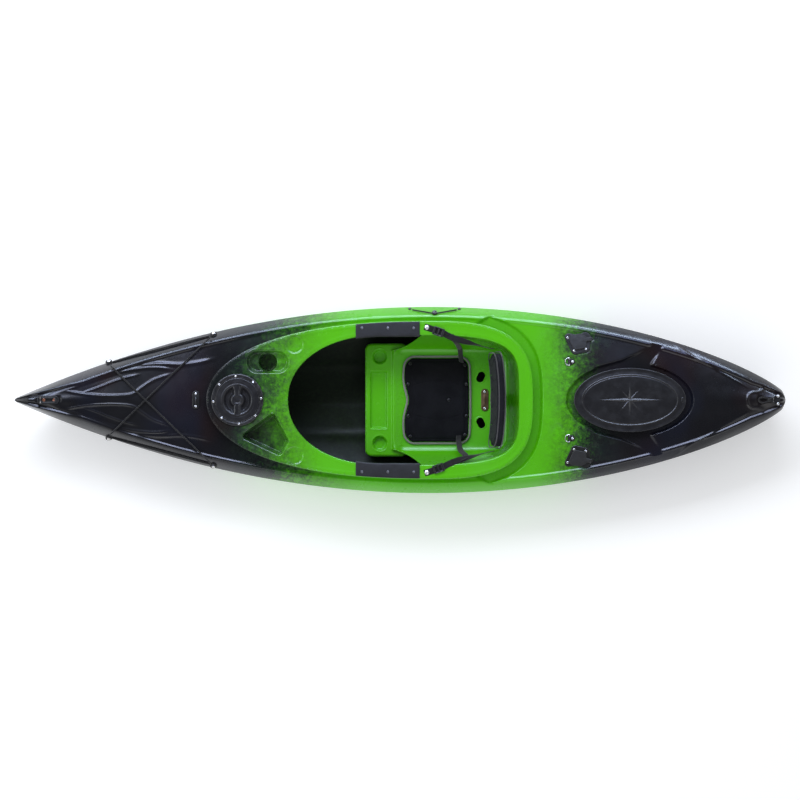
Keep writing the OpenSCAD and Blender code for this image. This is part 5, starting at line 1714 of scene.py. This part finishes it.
def paddle_park():
    tubes = []
    for d in (-1, 1):
        a, b = np.array([PARK_X + d * 7, 343.5]), np.array([PARK_X + d * 88, 358.0])
        u = np.linspace(0, 1, 40)
        xy = a + (b - a) * u[:, None]
        rise = 5.0 + 1.6 * (1 - u) ** 2
        tubes.append(tube(np.c_[xy, upper_z(xy[:, 0], xy[:, 1]) + 2.6 + rise], 2.5, 10, twist=1.2))
    a = circle(36)
    place = (np.array([PARK_X, 342, float(upper_z(PARK_X, 342))]), axes(("X", -42)))
    for k in (0, 1):
        tubes.append(tube(put(np.c_[8.3 * np.cos(a), 8.3 * np.sin(a), 4.2 + 3 * k + 0 * a], place),
                          2.1, 8, up=(0.1, 0.1, 1)))
    cord = add_tubes("paddle_cord_loop", tubes, "cord")
    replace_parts(outward(cord), "paddle_cord")
    knob = add_grid("paddle_knob",
                    put(lathe([(0.3, 12.3), (3.2, 12.3), (3.6, 11.2), (4.6, 11.2), (5.2, 12.2),
                               (7.6, 11.6), (9.6, 9.6), (10, 8.6), (9.4, 8.0), (6.6, 7.8), (6, 7),
                               (6, 1.2), (7.2, 0.4), (1, 0.3)], ORIGIN, count=40), place), "gloss",
                    wrap_i=True)
    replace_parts(outward(knob), "paddle_cord_button")
    socket = lathe([(0.3, 2.6), (2.0, 2.8), (2.6, 4.0), (4.4, 4.0), (5.9, 3.2), (6.5, 2.0),
                    (6.5, -0.4), (5.6, -1), (1, -1)], ORIGIN, count=32)
    spots = [(np.array([x, 361.0, float(upper_z(x, 361))]), axes(("X", -60)))
             for x in (PARK_X - 98, PARK_X + 98)]
    ends = add_turned("paddle_cord_bushings", [put(socket, spot) for spot in spots], "black")
    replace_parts(outward(ends), "paddle_cord_eyes")


# ---- seat, backrest, straps and pads ------------------------------------------------------


def replace_mesh(obj):
    """Applies the modifiers an object has now."""
    dg = bpy.context.evaluated_depsgraph_get()
    fresh = bpy.data.meshes.new_from_object(obj.evaluated_get(dg))
    obj.modifiers.clear()
    old, obj.data = obj.data, fresh
    bpy.data.meshes.remove(old)


def coords(me):
    co = np.empty(len(me.vertices) * 3, np.float32)
    me.vertices.foreach_get("co", co)
    return co.reshape(-1, 3).astype(float)


PRESSURE = 4.0
CLOTH_FRAMES = 20


def inflate(obj, voxel, cap):
    """Fills a pad out with a pressure cloth simulation; no point moves further than cap."""
    mod = obj.modifiers.new("voxels", "REMESH")
    mod.mode = "VOXEL"
    mod.voxel_size = voxel
    mod.use_smooth_shade = True
    replace_mesh(obj)
    rest = coords(obj.data)
    cloth = obj.modifiers.new("cloth", "CLOTH")
    cloth.settings.quality = 4
    cloth.settings.use_pressure = True
    cloth.settings.uniform_pressure_force = PRESSURE
    cloth.settings.effector_weights.gravity = 0.0
    cloth.settings.bending_stiffness = 0.4
    cloth.point_cache.frame_start = 1
    cloth.point_cache.frame_end = CLOTH_FRAMES
    for f in range(1, CLOTH_FRAMES + 1):
        scene.frame_set(f)
    dg = bpy.context.evaluated_depsgraph_get()
    moved = coords(obj.evaluated_get(dg).data)
    obj.modifiers.clear()
    step = moved - rest
    reach = np.linalg.norm(step, axis=1)
    step *= np.minimum(1, cap / np.maximum(1e-9, reach))[:, None]
    obj.data.vertices.foreach_set("co", (rest + step).astype(np.float32).ravel())
    scene.frame_set(1)
    soft = obj.modifiers.new("relax", "SMOOTH")
    soft.factor = 0.5
    soft.iterations = 4
    obj.modifiers.new("fine", "SUBSURF").levels = 1
    replace_mesh(obj)
    shade_smooth(obj)


def reshape(obj, move):
    """Moves the points of a mesh with a function of their millimetre coordinates."""
    p = coords(obj.data) / MM
    obj.data.vertices.foreach_set("co", (move(p) * MM).astype(np.float32).ravel())
    obj.data.update()


def pad_sdf(grow=0.0):
    box_ = rounded_box(13, 286, 178, 46)

    def f(x, y):
        wave = 12 * bell(y, 42) - 3.5 * bell(np.abs(y) - 92, 40)
        back = 5 * (1 - (y / 178) ** 2)
        return box_(x - wave * smooth((120 - x) / 90) - (back - 5) * smooth((x - 180) / 80),
                    y) - grow
    return f


RIVETS = [(x, s * y) for s in (-1, 1) for x, y in ((41, 146), (33, 64), (260, 140),
                                                   (266, 63))] + [(196, 0)]


def seat_pad():
    zc = PAN + 0.4
    outline = trace(pad_sdf(-4.5), (150, 0), 230, 300)
    P = button(outline, [(-5, zc + 0.6), (-1.2, zc + 1.8), (0, zc + 5.5), (-0.8, zc + 9.5),
                         (-4, zc + 12.2)], (150, 0), crown=0.6, rings=12)
    pad = add_grid("seat_cushion", P, None, None, wrap_i=True)
    outward(pad)
    inflate(pad, 0.0055, 0.0045)
    far = pad_sdf(-22)

    def sew(p):
        x, y, z = p.T
        up = smooth((z - zc - 8) / 4)
        d = np.zeros(len(x))
        for bx, by in RIVETS:
            d = np.maximum(d, 3.4 * bell(np.hypot(x - bx, y - by), 11))
        d = np.maximum(d, 1.7 * bell(far(x, y), 2.6))
        for k in (-1, 1):
            d = np.maximum(d, 1.5 * bell(y - k * (58 + 20 * np.cos((x - 150) / 62)), 3.0)
                           * smooth((x - 45) / 25) * smooth((255 - x) / 25))
        wrinkle = 0.5 * np.sin(x / 9.0 + 1.7 * np.sin(y / 23.0)) * bell(far(x, y), 16)
        z = z - up * d + up * wrinkle
        lo, hi = zc - 0.1, PAN + 17.2
        return np.c_[x, y, np.clip(z, lo, hi)]

    reshape(pad, sew)
    finish_mesh(pad, "pad", "hull")
    p, n = trace(pad_sdf(0.0), (150, 0), 230, 420)
    rows = [(-7.0, zc + 3.0), (-4.6, zc + 0.8), (-1.4, zc + 0.7), (0.2, zc + 2.4), (0.6, zc + 5.2),
            (0.0, zc + 8.4), (-2.0, zc + 10.6), (-4.6, zc + 11.4), (-6.4, zc + 11.0),
            (-7.4, zc + 9.4)]
    pucker = 0.35 * np.sin(np.arange(len(p)) * 2 * np.pi * 60 / len(p))
    grid = sweep_loop(p, n, [(o, z + (pucker if z > zc + 9 else 0)) for o, z in rows])
    band = add_grid("seat_cushion_binding", grid, "binding", wrap_i=True, wrap_j=True)
    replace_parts(outward(pad), "seat_pad")
    outward(band)
    head = [(0.2, 2.0), (2.4, 2.2), (3.0, 1.7), (4.6, 2.3), (6.2, 1.4), (6.6, 0.2), (6.2, -0.6),
            (1, -0.8)]
    snaps = add_turned("seat_snaps", [lathe(head, (*at, PAN + 15.0), count=32) for at in RIVETS],
                       "gloss")
    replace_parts(outward(snaps), "seat_pad_rivets")


LEAN = axes(("Y", 9.0))
BACK = np.array([364.0, 0.0, 100.0])
# the cushion bends round an upright axis: radii of its front face and middle, and the axis
BACK_INNER = 1116
BACK_MID = 1133
BACK_CENTRE = 22 - 1150


def back_point(w, u, v):
    """Point of the backrest: w through its thickness, u across, v up."""
    r = BACK_INNER + w
    return np.stack([BACK_CENTRE + r * np.cos(u / BACK_MID), r * np.sin(u / BACK_MID), v], -1)


def backrest():
    shape = rounded_box(56, 220, 190, 46)

    def waist(v, u):
        return shape(v + 9 * bell(u, 70) * smooth((140 - v) / 60), u)

    outline = trace(lambda a, b: waist(a + 138, b), (0, 0), 240, 280)
    P = button(outline, [(-7, 5), (-2.2, 7.0), (0, 12), (0, 22), (-2.2, 27), (-7, 29)], (0, 0),
               crown=1.6, rings=12)
    pts = back_point(P[..., 2], P[..., 1], P[..., 0] + 138)
    piece = add_grid("backrest_cushion", BACK + pts @ LEAN.T, None, None, wrap_i=True)
    outward(piece)
    inflate(piece, 0.0058, 0.0065)
    body = coords(piece.data) / MM
    local = (body - BACK) @ LEAN
    dx = local[:, 0] - BACK_CENTRE
    u = np.arctan2(local[:, 1], dx) * BACK_MID
    w = np.hypot(dx, local[:, 1]) - BACK_INNER
    v = local[:, 2]
    face = clip01(np.abs(w - 17) / 12)
    away = np.where(w > 17, -1.0, 1.0)
    d = np.zeros(len(u))
    for k, c in enumerate((-150, -88, -28, 28, 88, 150)):
        wob = 13 * np.sin(v / 27.0 + k * 1.3)
        d = np.maximum(d, 4.2 * bell(u - c - wob, 3.8))
    d = np.maximum(d, 2.6 * np.exp(-(waist(v, u) + 20) ** 2 / 12.0))
    fold = 0.7 * np.sin(u / 11.0 + 2 * np.sin(v / 31.0)) * bell(waist(v, u) + 20, 18)
    w = np.clip(w + away * face * (d - fold), 0.3, 33.8)
    piece.data.vertices.foreach_set("co",
                                    ((BACK + back_point(w, u, v) @ LEAN.T)
                                     * MM).astype(np.float32).ravel())
    piece.data.update()
    finish_mesh(piece, "back", "backrest")
    p, n = trace(lambda a, b: waist(a + 138, b) - 1.5, (0, 0), 240, 420)
    binding = []
    for wc in (4.4, 29.6):
        ring = np.linspace(0, 2 * np.pi, 9)[:-1]
        rows = []
        for a in ring:
            q = p + n * (2.3 * math.cos(a) - 2.2)
            rows.append(BACK + back_point(wc + 2.3 * math.sin(a), q[:, 1], q[:, 0] + 138) @ LEAN.T)
        binding.append(np.stack(rows, 1))
    edge_ = add_tubes("backrest_piping", binding, "thread", "backrest", closed=True)
    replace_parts(outward(piece), "backrest")
    outward(edge_)
    t = np.linspace(0, 1, 24)
    path = BACK + np.c_[-1 + 0 * t, 0 * t, -2 + 84 * t] @ LEAN.T
    tongue = add_grid("backrest_tongue", ribbon(path, np.tile([0, 1.0, 0], (24, 1)), 50, 2.2),
                      "web", "backrest", wrap_j=True)
    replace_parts(outward(tongue), "backrest_hinge_strap")
    bracket = plate("backrest_clamp", capsule_outline(30, 15, 120, "y"), edge(0, 2.6, 1.1), (0, 0),
                    "bronze", flat_frame(340, 0, PAN + 0.3), top=lambda x,
                    y: 0.9 * bell(x, 4.5) * smooth((24 - np.abs(y)) / 8))
    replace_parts(bracket, "backrest_bracket")
    add_screws("backrest_clamp_screws", "backrest_bracket_screws", "steel", 2.8)


STRAP_Z = TOP + 1.6


def straps():
    for name, s in SIDES:
        plan = curve_through([(97, 289.2), (126, 279.6), (165, 265.6), (208, 245.4), (250, 232.5),
                              (300, 219), (345, 207.5), (372, 202.4)], 90)
        x = plan[:, 0]
        z = np.interp(x, [97, 180, 214, 260, 310, 372], [STRAP_Z, STRAP_Z, STRAP_Z - 1.2, 272, 257,
                                                         236])
        z = np.convolve(np.pad(z, 4, mode="edge"), np.ones(9) / 9, "valid")
        path = np.c_[plan[:, 0], s * plan[:, 1], z]
        t = np.gradient(path, axis=0)
        flat = np.cross(np.array([0, 0, 1.0]), t)
        flat /= np.linalg.norm(flat, axis=1)[:, None]
        roll = smooth((x - 215) / 120) * (np.pi / 2) * 0.96 * s
        upish = np.cross(t / np.linalg.norm(t, axis=1)[:, None], flat)
        wide = flat * np.cos(roll)[:, None] + upish * np.sin(roll)[:, None]
        width = 25 - 2.5 * bell(x - 300, 70)
        grid = ribbon(path, wide, 1.0, 2.0, 9)
        centre = grid.mean(1, keepdims=True)
        off = grid - centre
        unit = (wide / np.linalg.norm(wide, axis=1)[:, None])[:, None]
        across = np.sum(off * unit, -1, keepdims=True)
        grid = grid + across * (width - 1)[:, None, None] * unit
        body = add_grid("strap_" + name, grid, "web", None, wrap_j=True)
        outward(body)
        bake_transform(body)
        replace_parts(body, "backrest_strap_" + name)
        # the loose tail below the buckle
        if s > 0:
            tail = [(170, 262, STRAP_Z - 2.6), (200, 247, STRAP_Z - 8), (220, 228, 268),
                    (230, 217, 238), (235, 208, 208), (239, 200, 180), (242, 176, 146),
                    (246, 150, 121)]
        else:
            tail = [(238, 236.5, 276.5), (260, 227, 266), (257, 216, 246), (246, 206, 212),
                    (239, 196, 182), (236, 176, 147), (234, 158, 122), (236, 142, 113)]
        path = curve_through(np.array(tail) * (1, s, 1), 80)
        t = np.gradient(path, axis=0)
        guide = np.array([0.75, s * 0.15, 0.55]) if s > 0 else np.array([0.95, s * -0.1, 0.2])
        wide = np.tile(guide, (80, 1))
        wide = wide + 0.35 * np.sin(np.linspace(0, 2.4, 80))[:, None] * np.array([0, 0, 1.0])
        outward(add_grid("strap_tail_" + name, ribbon(path, wide, 22, 1.8, 9), "web", wrap_j=True))
    add_screws("strap_anchor_heads", "strap_anchor_screws", "steel", 2.8, washer=True)
    buckles = []
    for s in (-1, 1):
        place = (np.array([152, s * 269.4, STRAP_Z + 1.3]), axes(("Z", s * -19)))
        outer = polygon([(-19, -14), (19, -14), (19, 14), (-19, 14)], 3)
        gx, gy = np.meshgrid(np.arange(-23, 23.5, 0.7), np.arange(-18, 18.5, 0.7), indexing="ij")
        windows = (polygon([(-13, -11), (-5, -11), (-5, 11), (-13, 11)], 1.2),
                   polygon([(3, -11), (11, -11), (11, 11), (3, 11)], 1.2))
        for f in (outer, *windows):
            snap(gx, gy, f, (0,), 0.5)
        d = np.maximum(outer(gx, gy), np.maximum(-windows[0](gx, gy), -windows[1](gx, gy)))
        z = 7.0 - 2.2 * (1 - np.sqrt(np.maximum(0, 1 - clip01((d + 2.4) / 2.4) ** 2)))
        z = z - 1.5 * smooth((gx - 8) / 8) + 0.5 * np.sin(gx * 2.2) * (np.abs(gx) < 4)
        ok = d < 0.25
        top = add_grid("buckle_top", put(np.stack([gx, gy, z], -1), place), "black", keep=ok)
        low = np.stack([gx, gy, np.full(gx.shape, 2.4)], -1)
        under = add_grid("buckle_low", put(low, place), "black", keep=ok, flip=True)
        walls = []
        for f, c, reach in ((outer, (0, 0), 40), (windows[0], (-9, 0), 20),
                            (windows[1], (7, 0), 20)):
            p, n = trace(f, c, reach, 90)
            g = sweep_loop(p, n, [(0, 2.4), (0, 4.8)])
            g[:, 1, 2] = 4.8 - 1.5 * smooth((p[:, 0] - 8) / 8)
            walls.append(add_grid("buckle_side", put(g, place), "black", wrap_i=True))
        buckles += [top, under, *walls]
    made = join("strap_ladder_locks", buckles)
    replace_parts(made, "strap_buckles")


def thigh_pads():
    xs = np.r_[-175.0, -174.3, np.linspace(-172, 75, 96), 77.3, 78.0]

    def level(f, lo, hi):
        return bisect(lambda y: f(xs, y) < 0, np.full(len(xs), float(lo)),
                      np.full(len(xs), float(hi)))

    outer = level(coaming, 200, 330) - 2.2
    inner = level(cockpit, 100, 262)
    for name, s in SIDES:
        flap = smooth((58 - xs) / 14)
        rows = []
        round_end = np.minimum(1, np.minimum((xs - xs[0]) / 5, (xs[-1] - xs) / 5))
        ease = np.sqrt(np.maximum(0, 1 - (1 - round_end) ** 2))
        top = TOP + 0.4 + 5.9 * (0.35 + 0.65 * ease)
        low = TOP - 4 - 37.5 * flap * (0.9 + 0.1 * ease)
        sag = 0.5 * np.sin(xs / 19.0) + 0.4 * np.sin(xs / 7.3 + 1)
        for f, dz in ((0.0, -5.6), (0.0, -2.4), (0.02, -0.9), (0.06, -0.2), (0.12, 0.05),
                      (0.3, 0.35), (0.5, 0.5), (0.7, 0.35), (0.88, 0.05), (0.94, -0.35),
                      (0.985, -1.4)):
            y = outer + (inner - 6.2 - outer) * f
            rows.append(np.c_[xs, y, top + dz + (sag * 0.5 if 0.1 < f < 0.9 else 0)])
        for dy, u in ((-6.5, 0.0), (-6.7, 0.25), (-6.6, 0.5), (-6.4, 0.75), (-6.0, 0.93),
                      (-5.0, 0.99), (-3.0, 1.0), (-1.2, 0.985), (-0.8, 0.93), (-0.8, 0.4)):
            z = (TOP + 2.6) + (low - TOP - 2.6) * u
            rows.append(np.c_[xs, inner + dy + 0.25 * sag * (0 < u < 0.9), z])
        rows.append(np.c_[xs, inner - 0.8, np.full(len(xs), TOP - 5.0)])
        rows.append(np.c_[xs, inner + 1.2, np.full(len(xs), TOP + 0.35)])
        P = np.stack(rows, 1)
        P[:, -2, 2] = np.maximum(P[:, -3, 2], TOP - 5)
        P = P * np.array([1, s, 1])
        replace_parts(outward(add_tubes("thigh_foam_" + name, [P], "foam")), "thigh_pad_" + name)
    add_screws("thigh_pad_heads", "thigh_pad_screws", "dark_steel", 2.0)


def inside_pieces():
    polish("stern_bulkhead", "grey_foam", 3.0, 3)
    polish("bow_float", "float", 4.0, 3)
    polish("seat_support_foam", "grey_foam", 2.5, 3)
    polish("accessory_inserts", "brass", 0.25)
    for name in ("port", "starboard"):
        polish("foot_rail_" + name, "black", 0.9)
        polish("foot_pedal_" + name, "gloss", 2.2, 3)
    add_screws("foot_rail_bolt_heads", "foot_rail_bolts", "steel", 3.0)


day_hatch()
stern_hatch()
rod_holders()
tie_rings()
bow_handle()
stern_handle()
bungee()
pad_eye()
paddle_park()
seat_pad()
backrest()
straps()
thigh_pads()
inside_pieces()

# ---- camera, light, floor -----------------------------------------------------------------


def area(name, loc, size, energy, color=(1, 1, 1), gloss=False):
    """Rectangular lamp; a gloss lamp shows only in reflections."""
    light = bpy.data.lights.new(name, "AREA")
    light.shape = "RECTANGLE"
    light.size, light.size_y = size
    light.energy = energy
    light.color = color
    o = bpy.data.objects.new(name, light)
    scene.collection.objects.link(o)
    o.visible_diffuse = not gloss
    o.location = loc
    o.rotation_euler = (Vector((0, 0, 0.2)) - Vector(loc)).to_track_quat("-Z", "Y").to_euler()


def floor_material():
    n = Nodes("floor")
    c = n.mix(n.span(n.noise(0.7, 2, 0.5), 0.3, 0.7), (0.90, 0.90, 0.90), (0.92, 0.92, 0.92))
    return n.out(c, 0.6, Emission_Color=(1.0, 1.0, 1.0), Emission_Strength=0.22)


def studio_light(tree):
    """Even light all round; reflections see a dark ceiling and a bright horizon."""
    back = tree.nodes["Background"]
    spot = tree.nodes.new("ShaderNodeTexCoord")
    part = tree.nodes.new("ShaderNodeSeparateXYZ")
    tree.links.new(spot.outputs["Generated"], part.inputs[0])
    ceiling = tree.nodes.new("ShaderNodeMapRange")
    ceiling.interpolation_type = "SMOOTHSTEP"
    for k, v in zip((1, 2, 3, 4), (0.25, 0.95, 0.75, 0.05)):
        ceiling.inputs[k].default_value = v
    tree.links.new(part.outputs[2], ceiling.inputs[0])
    path = tree.nodes.new("ShaderNodeLightPath")
    pick = tree.nodes.new("ShaderNodeMix")
    pick.inputs[2].default_value = 0.62
    tree.links.new(path.outputs["Is Glossy Ray"], pick.inputs[0])
    tree.links.new(ceiling.outputs[0], pick.inputs[3])
    tree.links.new(pick.outputs[0], back.inputs[1])
    back.inputs[0].default_value = (0.95, 0.97, 1.0, 1)


# width of the picture, and the boat's length in it
PICTURE_PX = 800
BOAT_PX = 772


def stage():
    me = bpy.data.meshes.new("floor")
    s = 30.0
    me.from_pydata([(-s, -s, 0), (s, -s, 0), (s, s, 0), (-s, s, 0)], [], [(0, 1, 2, 3)])
    o = bpy.data.objects.new("floor", me)
    o.location = (0, 0, -0.002)
    me.materials.append(floor_material())
    scene.collection.objects.link(o)
    o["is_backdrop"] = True
    world = bpy.data.worlds.new("studio")
    scene.world = world
    world.use_nodes = True
    studio_light(world.node_tree)
    area("key", (-1.0, 3.6, 4.0), (5.5, 1.6), 170, color=(0.90, 0.94, 1.0))
    area("strip", (0.0, 5.2, 2.0), (8.0, 0.6), 420, color=(0.60, 0.74, 1.0), gloss=True)
    area("sky", (-0.4, 3.2, 3.3), (5.5, 0.9), 120, color=(0.34, 0.46, 1.0), gloss=True)
    area("fill", (0.6, -3.8, 3.2), (5.0, 1.0), 22)
    area("end", (-4.6, 0.3, 2.4), (1.5, 3.0), 40, color=(0.9, 0.95, 1.0))
    cam = bpy.data.cameras.new("camera")
    cam.lens = 135
    o = bpy.data.objects.new("camera", cam)
    scene.collection.objects.link(o)
    lo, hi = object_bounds()
    width = (hi.x - lo.x) * PICTURE_PX / BOAT_PX
    dist = width / (cam.sensor_width / cam.lens)
    o.location = ((lo.x + hi.x) / 2, 0, 0.27 + dist)
    cam.clip_end = 100
    scene.camera = o


stage()
